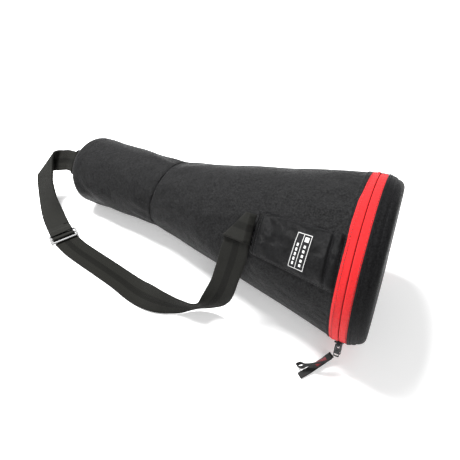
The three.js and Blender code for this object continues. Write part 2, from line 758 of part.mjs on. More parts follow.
function adjuster() {
  const outline = roundedRectangle(new THREE.Shape(), ADJUSTER_LENGTH, ADJUSTER_WIDTH, 5);
  const slotWidth = (ADJUSTER_WIDTH - 3 * ADJUSTER_BAR) / 2;
  for (const side of [-1, 1]) {
    const slot = roundedRectangle(new THREE.Path(), ADJUSTER_LENGTH - 9, slotWidth, 1.5);
    const shift = (side * (slotWidth + ADJUSTER_BAR)) / 2;
    const points = slot.getPoints(3).map((p) => new THREE.Vector2(p.x, p.y + shift));
    outline.holes.push(new THREE.Path(points));
  }
  return new THREE.ExtrudeGeometry(outline, {
    depth: ADJUSTER_THICKNESS - 1.6,
    bevelThickness: 0.8,
    bevelSize: 0.8,
    bevelOffset: -0.8,
    bevelSegments: 1,
    curveSegments: 3,
  }).translate(0, 0, 0.8);
}

// The strap's end, sewn round the adjuster's middle bar.
function strapEnd() {
  const wall = 1.6 + GAP;
  const outline = roundedRectangle(
    new THREE.Shape(),
    ADJUSTER_BAR + 2 * wall,
    ADJUSTER_THICKNESS + 2 * wall,
    2.6,
  );
  outline.holes.push(roundedRectangle(
    new THREE.Path(),
    ADJUSTER_BAR + 2 * GAP,
    ADJUSTER_THICKNESS + 2 * GAP,
    1,
  ));
  const loop = new THREE.ExtrudeGeometry(outline, {
    depth: STRAP_WIDTH - 1,
    bevelEnabled: false,
    curveSegments: 4,
  });
  loop.translate(0, ADJUSTER_THICKNESS / 2, -(STRAP_WIDTH - 1) / 2);
  return loop.applyMatrix4(new THREE.Matrix4().makeBasis(
    new THREE.Vector3(0, 1, 0),
    new THREE.Vector3(0, 0, 1),
    new THREE.Vector3(1, 0, 0),
  ));
}

// ---- assembly ----

const object = new THREE.Group();
const caseGroup = new THREE.Group();
const mouthGroup = new THREE.Group();
const groundGroup = new THREE.Group();
caseGroup.applyMatrix4(caseFrame);
mouthGroup.applyMatrix4(mouthFrame);
groundGroup.position.set(NARROW_END_X, AXIS_Y, 0);
object.add(caseGroup, mouthGroup, groundGroup);

function add(parent, name, geometry, material) {
  const mesh = new THREE.Mesh(solid(geometry), material());
  mesh.name = name;
  parent.add(mesh);
  return mesh;
}

function addWall() {
  add(caseGroup, 'narrow_end_cap', caseShell(narrowEndCap(), 0), moulded);
  add(caseGroup, 'narrow_end_foam', caseShell(narrowEndFoam(), CAP_WALL), foam);
  add(caseGroup, 'outer_sleeve', caseShell(layer(SLEEVE_START, SEAM_X - GAP, 0, FABRIC), 0), blackFabric);
  add(caseGroup, 'foam_sleeve',
    caseShell(layer(SLEEVE_START, SEAM_X - GAP, FOAM_DEPTH, FOAM), FOAM_DEPTH), foam);
  add(caseGroup, 'outer_flare', caseShell(layer(FLARE_START, FLARE_END, 0, FABRIC), 0), blackFabric);
  add(caseGroup, 'foam_flare', caseShell(foamFlare(), FOAM_DEPTH), foam);
  add(caseGroup, 'lining', caseShell(lining(), LINING_DEPTH), liningCloth);
  add(caseGroup, 'mouth_binding', caseShell(mouthBinding(), FOAM_DEPTH), blackFabric);
}

function addZipper() {
  const tapeInner = TAPE_RADIUS - TAPE_THICKNESS;
  const tapeStart = COIL_EDGE + GAP;
  add(mouthGroup, 'body_zipper_tape', zipperBand(-TAPE_EDGE, -tapeStart, tapeInner, TAPE_RADIUS), redTape);
  add(mouthGroup, 'body_zipper_coil', zipperBand(-COIL_EDGE, -GAP, tapeInner, COIL_RADIUS), redCoil);
  add(mouthGroup, 'lid_zipper_coil', zipperBand(GAP, COIL_EDGE, tapeInner, COIL_RADIUS), redCoil);
  add(mouthGroup, 'lid_zipper_tape', zipperBand(tapeStart, TAPE_EDGE, tapeInner, TAPE_RADIUS), redTape);
  add(mouthGroup, 'hinge_panel', hingePanel(), blackFabric);
  const stopAngles = [HINGE_ANGLE + HINGE_HALF + 1.5, HINGE_ANGLE - HINGE_HALF - 1.5];
  stopAngles.forEach((angle, i) => {
    const stop = add(mouthGroup, `zipper_end_stop_${'ab'[i]}`, endStop(), redCoil);
    stop.applyMatrix4(atMouthAngle(angle, COIL_RADIUS + 1.1));
    stop.translateX(-2.6);
  });
}

// X stays along the case, +Z points out of it and +Y the way the angle grows.
function atMouthAngle(angle, radius) {
  const turn = toRadians(angle);
  const out = new THREE.Vector3(0, -Math.cos(turn), Math.sin(turn));
  const round = new THREE.Vector3(0, Math.sin(turn), Math.cos(turn));
  return new THREE.Matrix4().makeBasis(new THREE.Vector3(1, 0, 0), round, out)
    .setPosition(out.clone().multiplyScalar(radius));
}

function addLid() {
  add(mouthGroup, 'lid_shell', pressFlat(lidShell(), mouthFrame, 0), moulded);
  add(mouthGroup, 'lid_foam', lidFoam(), foam);
  add(mouthGroup, 'lid_lining', pressFlat(lidLining(), mouthFrame, LID_WALL + 2), liningCloth);
}

// The pull's webbing: middle places and the way across it, from the tab's end to the ground.
const PULL_ROUTES = [
  [[[674.5, -123, 17], [0.97, 0, 0.1]], [[669, -132, 11.5], [0.93, -0.3, 0.15]],
    [[659, -149, 6.5], [0.86, -0.5, 0.1]], [[649, -166, 3.2], [0.84, -0.54, 0]],
    [[640, -180, 2], [0.84, -0.54, 0]]],
  [[[673, -140.5, 41], [0.97, 0, 0.1]], [[667, -147, 33], [0.75, -0.1, 0.6]],
    [[655, -156, 22], [0.3, -0.1, 0.95]], [[642, -163, 13.5], [0.15, 0, 1]],
    [[629, -168, 8], [0.1, 0, 1]]],
];

// The stitched bar that holds the pull's webbing together near the tab, over steps of the webbing.
function pullPatch(route) {
  const under = routeStretch(route, PULL_STEPS);
  const height = PULL_THICKNESS / 2 + PATCH_GAP + PATCH_THICKNESS / 2;
  const start = PATCH_STEPS[0] / under.steps;
  const end = PATCH_STEPS[1] / under.steps;
  const stretch = {
    steps: PATCH_STEPS[1] - PATCH_STEPS[0],
    point: (share, across, up) => under.point(THREE.MathUtils.lerp(start, end, share), across, up + height),
  };
  return webbingStrip([stretch], PATCH_WIDTH, PATCH_THICKNESS);
}

function addSlider(i) {
  const letter = 'ab'[i];
  const frame = atMouthAngle(SLIDER_ANGLES[i], SLIDER_BASE);
  const body = add(mouthGroup, `slider_${letter}`, slider(), blackMetal);
  body.applyMatrix4(frame);
  if (i === 0) body.rotateZ(Math.PI);
  const pivot = frame.clone().multiply(new THREE.Matrix4().makeTranslation(0, 0, PIVOT_HEIGHT));
  const tab = add(mouthGroup, `pull_tab_${letter}`, pullTab(), blackMetal);
  tab.applyMatrix4(pivot.multiply(new THREE.Matrix4().makeRotationX(toRadians(PULL_LEANS[i]))));
  const route = PULL_ROUTES[i];
  const strip = webbingStrip([routeStretch(route, PULL_STEPS)], PULL_WIDTH, PULL_THICKNESS, 0, 2);
  add(groundGroup, `pull_webbing_${letter}`, strip, greyWebbing);
  add(groundGroup, `pull_patch_${letter}`, pullPatch(route), redWebbing);
}

function addPanel() {
  const padHeights = [0.4, PANEL_HEIGHT - FABRIC - GAP];
  const panelHeights = [PANEL_HEIGHT - FABRIC, PANEL_HEIGHT];
  const labelHeights = [PANEL_HEIGHT + GAP, PANEL_HEIGHT + 0.9];
  const padX = [PANEL_START_X + 3, PANEL_END_X - 3];
  const padAngles = [PANEL_ANGLES[0] + 1.5, PANEL_ANGLES[1] - 1.5];
  add(caseGroup, 'anchor_pad', onFlare(padX, padAngles, padHeights), foam);
  const panelX = [PANEL_START_X, PANEL_END_X];
  add(caseGroup, 'anchor_panel', onFlare(panelX, PANEL_ANGLES, panelHeights), blackFabric);
  add(caseGroup, 'label_patch', onFlare(LABEL_X, LABEL_ANGLES, labelHeights, 0.2), labelCloth);
}

function addStrap() {
  const loop = add(object, 'strap_ring', strapRing(), blackMetal);
  loop.applyMatrix4(ringFrame);
  add(caseGroup, 'ring_tab', ringTab(), webbing);
  add(groundGroup, 'strap_run', strapRun(), webbing);
  add(groundGroup, 'strap_return', strapReturn(), webbing);
  const [place] = STRAP_ROUTE[ADJUSTER_PLACE];
  const fittings = [['adjuster', adjuster(), silverMetal], ['strap_end', strapEnd(), webbing]];
  fittings.forEach(([name, geometry, material]) => {
    const fitting = add(groundGroup, name, geometry, material);
    fitting.position.set(place[0], place[1], ADJUSTER_HEIGHT);
    fitting.rotation.z = toRadians(ADJUSTER_TURN);
  });
}

addWall();
addZipper();
addLid();
addSlider(0);
addSlider(1);
addPanel();
addStrap();

export default object;
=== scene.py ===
"""Looks of the padded carry case: fabric covers, zipper, webbing and fittings over the CAD frame."""

import math

import bpy
import numpy as np
from mathutils import Matrix


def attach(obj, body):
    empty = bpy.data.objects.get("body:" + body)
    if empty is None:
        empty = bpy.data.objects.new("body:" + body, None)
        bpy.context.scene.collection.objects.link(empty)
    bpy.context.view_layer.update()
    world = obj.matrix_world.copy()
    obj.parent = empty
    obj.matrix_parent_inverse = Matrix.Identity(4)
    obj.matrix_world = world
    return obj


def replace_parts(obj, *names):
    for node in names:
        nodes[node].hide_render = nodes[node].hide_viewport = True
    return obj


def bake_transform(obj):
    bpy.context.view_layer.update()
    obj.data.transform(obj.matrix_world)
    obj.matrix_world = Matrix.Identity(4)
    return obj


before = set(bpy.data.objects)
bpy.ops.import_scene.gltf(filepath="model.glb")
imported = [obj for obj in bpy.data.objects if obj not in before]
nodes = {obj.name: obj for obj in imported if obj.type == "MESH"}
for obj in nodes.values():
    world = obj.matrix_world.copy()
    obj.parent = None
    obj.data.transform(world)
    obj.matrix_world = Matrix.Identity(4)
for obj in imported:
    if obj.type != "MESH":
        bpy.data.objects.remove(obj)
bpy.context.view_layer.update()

# ---- the CAD's driving sizes, in millimetres ----
NARROW_END_X, AXIS_Y = -337.3, 18.7
SHOULDER_RADIUS, NARROW_RADIUS = 18.0, 80.5
SEAM_X, SEAM_RADIUS = 250.0, 76.0
MOUTH_X, MOUTH_RADIUS = 661.0, 143.5
TAPE_RADIUS, TAPE_EDGE = 145.0, 14.0
LID_DEPTH, LID_FACE_RADIUS = 39.0, 136.5
HINGE_ANGLE, HINGE_HALF = 143.0, 24.0
MOUTH_FLAT, NARROW_FLAT, FLAT_START_X = 3.0, 2.0, 23.0
MOUTH_YAW, MOUTH_TILT = math.radians(4.4), math.radians(-1.6)
SEAM_LEAN, SEAM_SKEW = 0.15, 0.077
STRAP_WIDTH, STRAP_THICKNESS, LAYER = 50.0, 2.0, 2.6
RING_LENGTH, RING_WIDTH, RING_WIRE, RING_LOOP_RADIUS = 62.0, 32.0, 5.0, 4.3
RING_ANGLE, RING_RADIUS, TAB_LOOP_HEIGHT = 45.0, 43.0, 5.9
ADJUSTER_HEIGHT, ADJUSTER_TURN, ADJUSTER_THICKNESS, ADJUSTER_BAR = 5.4, 65.0, 3.4, 5.0
PANEL_X, PANEL_ANGLES, PANEL_GIRTH = (500.0, 646.0), (20.5, 56.5), 86.0
PANEL_LENGTH = PANEL_X[1] - PANEL_X[0]
LABEL_X, LABEL_ANGLES = (573.0, 599.0), (26.0, 49.5)
PULL_WIDTH, PULL_THICKNESS = 11.0, 2.4
GAP = 0.3

# Places along the strap and the pulls, each with the way across the webbing there.
STRAP_ROUTE = [
    [[-63, -116, 25], [0.8, 0.5, 0.33]],
    [[-32, -135, 8.5], [0.62, 0.76, 0.12]],
    [[5, -153, 2.6], [0.48, 0.88, 0]],
    [[42, -168, 2.2], [0.42, 0.91, 0]],
    [[88, -178, 2.2], [0.3, 0.95, 0]],
    [[135, -182, 2.2], [0.02, 1, 0]],
    [[185, -185, 2.2], [-0.06, 1, 0]],
    [[240, -189, 2.4], [-0.05, 1, 0]],
    [[290, -196, 8.5], [0, 0.97, 0.26]],
    [[332, -199, 19], [0, 0.72, 0.68]],
    [[366, -196, 25.5], [0, 0.35, 0.94]],
    [[394, -188, 26.5], [0.05, 0, 1]],
    [[418, -175, 27], [0.2, -0.3, 0.93]],
    [[437, -163, 32], [-0.25, -0.5, 0.83]],
    [[451, -152, 48], [-0.75, -0.3, 0.6]],
    [[461, -142, 76], [-0.96, 0, 0.2]],
    [[466, -133, 108], [-1, 0, 0]],
    [[470, -122, 140], [-0.97, -0.1, -0.15]],
]
DOUBLED_PLACES, ADJUSTER_PLACE = 3, 3
PULL_ROUTES = {
    "a": [[[674.5, -123, 17], [0.97, 0, 0.1]], [[669, -132, 11.5], [0.93, -0.3, 0.15]],
          [[659, -149, 6.5], [0.86, -0.5, 0.1]], [[649, -166, 3.2], [0.84, -0.54, 0]],
          [[640, -180, 2], [0.84, -0.54, 0]]],
    "b": [[[673, -140.5, 41], [0.97, 0, 0.1]], [[667, -147, 33], [0.75, -0.1, 0.6]],
          [[655, -156, 22], [0.3, -0.1, 0.95]], [[642, -163, 13.5], [0.15, 0, 1]],
          [[629, -168, 8], [0.1, 0, 1]]],
}


# ---- frames ----
def shifted(x, y, z):
    m = np.eye(4)
    m[:3, 3] = (x, y, z)
    return m


def turned_y(angle):
    c, s = math.cos(angle), math.sin(angle)
    return np.array([[c, 0, s, 0], [0, 1, 0, 0], [-s, 0, c, 0], [0, 0, 0, 1.0]])


def turned_z(angle):
    c, s = math.cos(angle), math.sin(angle)
    return np.array([[c, -s, 0, 0], [s, c, 0, 0], [0, 0, 1, 0], [0, 0, 0, 1.0]])


def from_axes(x, y, z, at=(0, 0, 0)):
    m = np.eye(4)
    m[:3, 0], m[:3, 1], m[:3, 2], m[:3, 3] = x, y, z, at
    return m


def placed(matrix, points):
    points = np.asarray(points, float)
    return points @ matrix[:3, :3].T + matrix[:3, 3]


def unit(v):
    v = np.asarray(v, float)
    return v / np.linalg.norm(v, axis=-1, keepdims=True)


NARROW_BOTTOM = NARROW_RADIUS - NARROW_FLAT
MOUTH_BOTTOM = TAPE_RADIUS - MOUTH_FLAT
PITCH = math.atan2(MOUTH_BOTTOM - NARROW_BOTTOM, MOUTH_X - FLAT_START_X)
NARROW_HEIGHT = NARROW_BOTTOM * math.cos(PITCH) - FLAT_START_X * math.sin(PITCH)
CASE = shifted(NARROW_END_X, AXIS_Y, NARROW_HEIGHT) @ turned_y(-PITCH)
MOUTH = CASE @ shifted(MOUTH_X, 0, 0) @ turned_z(MOUTH_YAW) @ turned_y(MOUTH_TILT)
GROUND = shifted(NARROW_END_X, AXIS_Y, 0)


def outer_radius(along):
    along = np.asarray(along, float)
    inward = np.clip(SHOULDER_RADIUS - along, 0, SHOULDER_RADIUS)
    shoulder = NARROW_RADIUS - SHOULDER_RADIUS + np.sqrt(SHOULDER_RADIUS ** 2 - inward ** 2)
    sleeve = np.interp(along, [SHOULDER_RADIUS, SEAM_X], [NARROW_RADIUS, SEAM_RADIUS])
    flare = np.interp(along, [SEAM_X, MOUTH_X - TAPE_EDGE], [SEAM_RADIUS, MOUTH_RADIUS])
    return np.where(along < SHOULDER_RADIUS, shoulder, np.where(along < SEAM_X, sleeve, flare))


def ring_points(along, radius, angle):
    """Points in a turned frame: along its axis, out from it, and round it in degrees."""
    turn = np.radians(angle)
    along, radius, turn = np.broadcast_arrays(along, radius, turn)
    return np.stack([along, -radius * np.cos(turn), radius * np.sin(turn)], axis=-1)


def on_case(along, radius, angle, floor=0.0):
    """Points of the lying case, in millimetres in the row frame."""
    p = ring_points(along, radius, angle).copy()
    x = p[..., 0]
    to_seam = np.clip(x / SEAM_X, 0, 1)
    to_mouth = np.clip((x - SEAM_X) / (MOUTH_X - 60 - SEAM_X), 0, 1)
    lean = SEAM_LEAN * to_seam * (1 - to_mouth) + math.tan(MOUTH_TILT) * to_mouth
    skew = SEAM_SKEW * to_seam * (1 - to_mouth) - math.tan(MOUTH_YAW) * to_mouth
    p[..., 0] = x + lean * p[..., 2] + skew * p[..., 1]
    p = placed(CASE, p)
    p[..., 2] = np.maximum(p[..., 2], floor)
    return p


def on_mouth(along, radius, angle, floor=0.0):
    p = placed(MOUTH, ring_points(along, radius, angle))
    p[..., 2] = np.maximum(p[..., 2], floor)
    return p


# ---- meshes ----
def new_object(name, mesh, material):
    obj = bpy.data.objects.new(name, mesh)
    bpy.context.collection.objects.link(obj)
    mesh.materials.append(material)
    return obj


def grid(name, points, material, closed_rows=False, closed_columns=False, uv=None, caps=False):
    """A surface through points[row][column] in millimetres, with uv in millimetres as well."""
    rows, columns = points.shape[:2]
    vertices = (points.reshape(-1, 3) * 0.001).tolist()
    faces, corners = [], []
    for i in range(rows if closed_rows else rows - 1):
        for j in range(columns if closed_columns else columns - 1):
            spots = [(i, j), (i, j + 1), (i + 1, j + 1), (i + 1, j)]
            faces.append([(r % rows) * columns + c % columns for r, c in spots])
            corners.extend(spots)
    if caps:
        faces.append([j for j in range(columns)][::-1])
        faces.append([(rows - 1) * columns + j for j in range(columns)])
        corners.extend([(0, j) for j in range(columns)][::-1])
        corners.extend([(rows - 1, j) for j in range(columns)])
    mesh = bpy.data.meshes.new(name)
    mesh.from_pydata(vertices, [], faces)
    if uv is not None:
        along, across = uv
        layer = mesh.uv_layers.new(name="UVMap")
        flat = [(along[min(r, len(along) - 1)], across[min(c, len(across) - 1)]) for r, c in corners]
        layer.data.foreach_set("uv", (np.array(flat, float) * 0.001).ravel())
    mesh.polygons.foreach_set("use_smooth", [True] * len(faces))
    mesh.validate()
    mesh.update()
    return new_object(name, mesh, material)


def lengths(points):
    steps = np.linalg.norm(np.diff(points, axis=0), axis=1)
    return np.concatenate([[0], np.cumsum(steps)])


def revolved(name, profile, material, place, ripple=None, count=168, spread=None):
    """A profile of (along, radius) turned round an axis; ripple(along, angle) moves it outwards."""
    profile = np.array(profile, float)
    angles = np.linspace(-90, 270, count, endpoint=False) if spread is None else np.linspace(*spread, count)
    along, radius = profile[:, 0][:, None], profile[:, 1][:, None]
    out = radius + (0 if ripple is None else ripple(along, angles[None, :]))
    points = place(along, out, angles[None, :])
    run = lengths(profile)
    girth = np.radians(np.append(angles, 270.0 if spread is None else angles[-1])) * profile[:, 1].max()
    return grid(name, points, material, closed_columns=spread is None, uv=(run, girth))


class Route:
    """A curve through places with the way across it at each."""

    def __init__(self, places):
        self.at = np.array([p for p, _ in places], float)
        self.way = np.array([w for _, w in places], float)

    @staticmethod
    def curve(points, share):
        last = len(points) - 1
        spot = share * last
        index = min(int(math.floor(spot)), last - 1)
        weight = spot - index
        p1, p2 = points[index], points[index + 1]
        p0 = points[index - 1] if index > 0 else 2 * p1 - p2
        p3 = points[index + 2] if index + 2 <= last else 2 * p2 - p1
        pairs = ((p0, p1), (p1, p2), (p2, p3))
        d0, d1, d2 = (max(float(np.dot(b - a, b - a)) ** 0.25, 1e-4) for a, b in pairs)
        t1 = ((p1 - p0) / d0 - (p2 - p0) / (d0 + d1) + (p2 - p1) / d1) * d1
        t2 = ((p2 - p1) / d1 - (p3 - p1) / (d1 + d2) + (p3 - p2) / d2) * d1
        a, b = 2 * p1 - 2 * p2 + t1 + t2, -3 * p1 + 3 * p2 - 2 * t1 - t2
        return p1 + t1 * weight + b * weight ** 2 + a * weight ** 3

    def frame(self, share):
        middle = self.curve(self.at, share)
        low, high = max(share - 1e-4, 0), min(share + 1e-4, 1)
        forward = unit(self.curve(self.at, high) - self.curve(self.at, low))
        side = self.curve(self.way, share)
        side = unit(side - side.dot(forward) * forward)
        return middle, side, np.cross(forward, side)

    def point(self, share, across, height):
        middle, side, up = self.frame(share)
        return middle + side * across + up * height


# ---- the strap's folds and its turn round the ring, as in the CAD ----
class SlantedFold:
    """Flat webbing folded on a slant: its middle, the ways along and across it, and the side it folds to."""

    def __init__(self, centre, along, across, radius, angle, side, layer=0.0):
        self.centre, self.along, self.across = np.array(centre, float), along, across
        self.radius, self.side, self.layer = radius, side, layer
        self.cos, self.sin = math.cos(math.radians(angle / 2)), math.sin(math.radians(angle / 2))
        reach = STRAP_WIDTH / 2 * self.cos
        self.start = -reach / self.sin - 1
        self.end = (math.pi * radius + reach) / self.sin + 1

    def at(self, along, across, height):
        crease = self.along * self.cos - self.across * self.sin
        beyond = self.along * self.sin + self.across * self.cos
        distance = along * self.sin + across * self.cos
        turn = min(max(distance / self.radius, 0), math.pi)
        straight = distance - turn * self.radius
        radius = self.radius - self.side * height
        return (self.centre + crease * (along * self.cos - across * self.sin)
                + beyond * (radius * math.sin(turn) + straight * math.cos(turn))
                + np.cross(self.along, self.across) * self.side * (self.radius - radius * math.cos(turn)))

    def place(self, along, height=0.0):
        side = unit(self.at(along, 5, height) - self.at(along, -5, height))
        return [self.at(along, 0, height), side]

    def point(self, share, across, height):
        return self.at(self.start + (self.end - self.start) * share, across, height + self.layer)


FOLD_WAY = unit([-0.93, -0.24, -0.27])
FOLD_SIDE = unit(np.cross([0, 0.75, -0.66], FOLD_WAY))
RING_FOLD = SlantedFold([-94.5, -40, 90.5], FOLD_WAY, FOLD_SIDE, 8.0, 90, -1)
RING_FOLD_UPPER = SlantedFold([-94.5, -40, 90.5], FOLD_WAY, FOLD_SIDE, 8.0, 90, -1, LAYER)
SIDE_ALONG, SIDE_UP = unit([0.971, -0.131, 0.199]), unit([-0.075, 0.624, 0.777])


def way_on_side(angle):
    return SIDE_ALONG * math.cos(math.radians(angle)) + SIDE_UP * math.sin(math.radians(angle))


PANEL_FOLD = SlantedFold([461, -93.5, 191.5], way_on_side(110), way_on_side(200), 4.0, 110, 1)
PANEL_END = [[494, -93.8, 204.5], [0.075, -0.624, -0.777]]

RING_TURN = math.radians(RING_ANGLE)
RING_ACROSS = np.array([0, math.sin(RING_TURN), math.cos(RING_TURN)])
RING_FACE = np.array([0, -math.cos(RING_TURN), math.sin(RING_TURN)])
RING_FOOT = RING_FACE * RING_RADIUS
RING = (CASE @ shifted(-TAB_LOOP_HEIGHT - GAP, RING_FOOT[1], RING_FOOT[2])
        @ from_axes(RING_ACROSS, (-1, 0, 0), np.cross(RING_ACROSS, (-1, 0, 0))))


def ring_place(angle, reach=0.0):
    """A place on the strap's turn round the ring's outer bar."""
    turn = math.radians(angle)
    out = RING_WIDTH - RING_WIRE - RING_LOOP_RADIUS * math.cos(turn) + reach
    from_ground = np.linalg.inv(GROUND) @ RING
    return [placed(from_ground, [0, out, RING_LOOP_RADIUS * math.sin(turn)]), unit(from_ground[:3, 0])]


def flat_section(half, thick, inset, count):
    """The outline of a strip of webbing: (across, height) round its four sides."""
    front = np.linspace(-half + inset, half - inset, count)
    back = np.linspace(half - inset, -half + inset, count)
    return [(-half, 0.0)] + [(a, thick) for a in front] + [(half, 0.0)] + [(a, -thick) for a in back]


class Raised:
    """A stretch that lies a layer above another."""

    def __init__(self, under, layer):
        self.under, self.layer = under, layer

    def point(self, share, across, height):
        return self.under.point(share, across, height + self.layer)


def strip(name, stretches, material):
    """The strap's webbing, with raised selvedges, through stretches of (rule, steps)."""
    half, across_steps = STRAP_WIDTH / 2, 12
    inner = np.linspace(-half + 0.8, half - 0.8, across_steps)
    top = [(a, STRAP_THICKNESS / 2 + (0.25 if abs(a) > half - 2.6 else 0)) for a in inner]
    section = [(-half, 0.0)] + top + [(half, 0.0)] + [(a, -h) for a, h in reversed(top)]
    rows, first = [], True
    for rule, steps in stretches:
        for i in range(0 if first else 1, steps + 1):
            share = i / steps
            rows.append([rule.point(share, a, h) for a, h in section])
        first = False
    points = placed(GROUND, np.array(rows))
    middle = (points[:, 0] + points[:, across_steps + 1]) / 2
    across = [a for a, _ in section] + [-half]
    return grid(name, points, material, closed_columns=True, caps=True,
                uv=(lengths(middle), np.array(across) + half)), middle


# ---- materials ----
def material(name):
    m = bpy.data.materials.new(name)
    m.use_nodes = True
    tree = m.node_tree
    return m, tree, tree.nodes["Principled BSDF"]


def node(tree, kind, **values):
    n = tree.nodes.new(kind)
    for key, value in values.items():
        if key in n.inputs:
            n.inputs[key].default_value = value
        else:
            setattr(n, key, value)
    return n


def math_node(tree, operation, a, b=None):
    n = tree.nodes.new("ShaderNodeMath")
    n.operation = operation
    for i, value in enumerate((a, b)):
        if value is None:
            continue
        if isinstance(value, (int, float)):
            n.inputs[i].default_value = value
        else:
            tree.links.new(value, n.inputs[i])
    return n.outputs[0]


def mixed(tree, factor, low, high):
    n = tree.nodes.new("ShaderNodeMix")
    n.data_type = "RGBA"
    tree.links.new(factor, n.inputs[0])
    for socket, value in ((n.inputs[6], low), (n.inputs[7], high)):
        if isinstance(value, (tuple, list)):
            socket.default_value = (*value, 1) if len(value) == 3 else value
        else:
            tree.links.new(value, socket)
    return n.outputs[2]


def noise(tree, coordinates, scale, detail=3.0, rough=0.5):
    n = node(tree, "ShaderNodeTexNoise", Scale=scale, Detail=detail, Roughness=rough)
    tree.links.new(coordinates, n.inputs["Vector"])
    return n.outputs[0]


def stretched(tree, value, gain):
    """A noise value spread out round its middle, kept from 0 to 1."""
    n = tree.nodes.new("ShaderNodeMapRange")
    n.inputs[1].default_value, n.inputs[2].default_value = 0.5 - 0.5 / gain, 0.5 + 0.5 / gain
    tree.links.new(value, n.inputs[0])
    return n.outputs[0]


def shade(color, factor):
    return tuple(min(c * factor, 1.0) for c in color)


def times(tree, a, b):
    return math_node(tree, "MULTIPLY", a, b)


def woven(name):
    """A cloth's material, its object coordinates and its places along and across the threads."""
    m, tree, shader = material(name)
    place = node(tree, "ShaderNodeTexCoord").outputs["Object"]
    split = node(tree, "ShaderNodeSeparateXYZ")
    tree.links.new(node(tree, "ShaderNodeUVMap").outputs[0], split.inputs[0])
    return m, tree, shader, place, split.outputs


def bumpy(tree, height, strength, distance, normal):
    """A bump from a height, linked to a shader's or another bump's normal."""
    bumped = node(tree, "ShaderNodeBump", Strength=strength, Distance=distance)
    tree.links.new(height, bumped.inputs["Height"])
    tree.links.new(bumped.outputs[0], normal)
    return bumped.inputs["Normal"]


def cloth(name, color, thread=0.0009, bump=0.35, sheen=0.25, rough=0.85, speckle=0.35, worn=1.25,
          crease=0.0, specular=0.14):
    """A woven cloth: threads along and across the uv, speckle, soft dirt and a sheen."""
    m, tree, shader, place, ways = woven(name)
    waves = [math_node(tree, "SINE", times(tree, ways[i], 2 * math.pi / thread)) for i in (0, 1)]
    weave = times(tree, *waves)
    fine = stretched(tree, noise(tree, place, 380.0, 4.0, 0.7), 3.2)
    broad = noise(tree, place, 9.0, 3.0, 0.5)
    dust = noise(tree, place, 260.0, 5.0, 0.8)
    rumple = noise(tree, place, 38.0, 2.0, 0.45)
    low, high = shade(color, 1 - speckle), shade(color, 1 + speckle)
    speckled = mixed(tree, fine, low, high)
    uneven = mixed(tree, broad, speckled, shade(color, worn))
    spread = times(tree, math_node(tree, "SUBTRACT", broad, 0.35), 0.55)
    blended = mixed(tree, spread, speckled, uneven)
    tree.links.new(blended, shader.inputs["Base Color"])
    shader.inputs["Roughness"].default_value = rough
    shader.inputs["Specular IOR Level"].default_value = specular
    shader.inputs["Sheen Weight"].default_value = sheen
    shader.inputs["Sheen Roughness"].default_value = 0.45
    shader.inputs["Sheen Tint"].default_value = (0.9, 0.92, 1.0, 1)
    height = math_node(tree, "ADD", times(tree, weave, 0.5), times(tree, dust, 0.8))
    under = bumpy(tree, height, bump, 0.0009, shader.inputs["Normal"])
    if crease:
        bumpy(tree, rumple, crease, 0.012, under)
    return m


def webbing(name, color, sheen, stripe=None):
    """Flat webbing: a twill across the uv, ribs along it and a darker stripe (low, high, depth)."""
    m, tree, shader, place, (along, across, _) = woven(name)
    zigzag = math_node(tree, "PINGPONG", across, 0.004)
    slant = times(tree, math_node(tree, "ADD", along, zigzag), 2 * math.pi / 0.0019)
    ribs = times(tree, across, 2 * math.pi / 0.0017)
    twill = times(tree, math_node(tree, "SINE", slant), math_node(tree, "SINE", ribs))
    fine = noise(tree, place, 500.0, 3.0, 0.6)
    broad = noise(tree, place, 14.0, 2.0, 0.5)
    base = mixed(tree, fine, shade(color, 0.72), shade(color, 1.3))
    aged = mixed(tree, times(tree, broad, 0.4), base, shade(color, 1.25))
    if stripe:
        low, high, depth = stripe
        inside = times(tree, math_node(tree, "GREATER_THAN", across, low * 0.001),
                       math_node(tree, "LESS_THAN", across, high * 0.001))
        aged = mixed(tree, times(tree, inside, depth), aged, shade(color, 0.45))
    tree.links.new(aged, shader.inputs["Base Color"])
    shader.inputs["Roughness"].default_value = 0.62
    shader.inputs["Specular IOR Level"].default_value = 0.07
    shader.inputs["Sheen Weight"].default_value = sheen
    shader.inputs["Sheen Roughness"].default_value = 0.4
    height = math_node(tree, "ADD", twill, times(tree, fine, 0.6))
    bumpy(tree, height, 0.7, 0.0005, shader.inputs["Normal"])
    return m


def metal(name, color, rough, metallic, scratch=0.15):
    """Metal or hard plastic with uneven wear."""
    m, tree, shader = material(name)
    place = node(tree, "ShaderNodeTexCoord").outputs["Object"]
    wear = noise(tree, place, 220.0, 6.0, 0.7)
    tree.links.new(mixed(tree, wear, shade(color, 0.8), shade(color, 1.2)), shader.inputs["Base Color"])
    spread = math_node(tree, "ADD", times(tree, wear, scratch), rough - scratch / 2)
    tree.links.new(spread, shader.inputs["Roughness"])
    shader.inputs["Metallic"].default_value = metallic
    bumpy(tree, wear, 0.12, 0.0002, shader.inputs["Normal"])
    return m


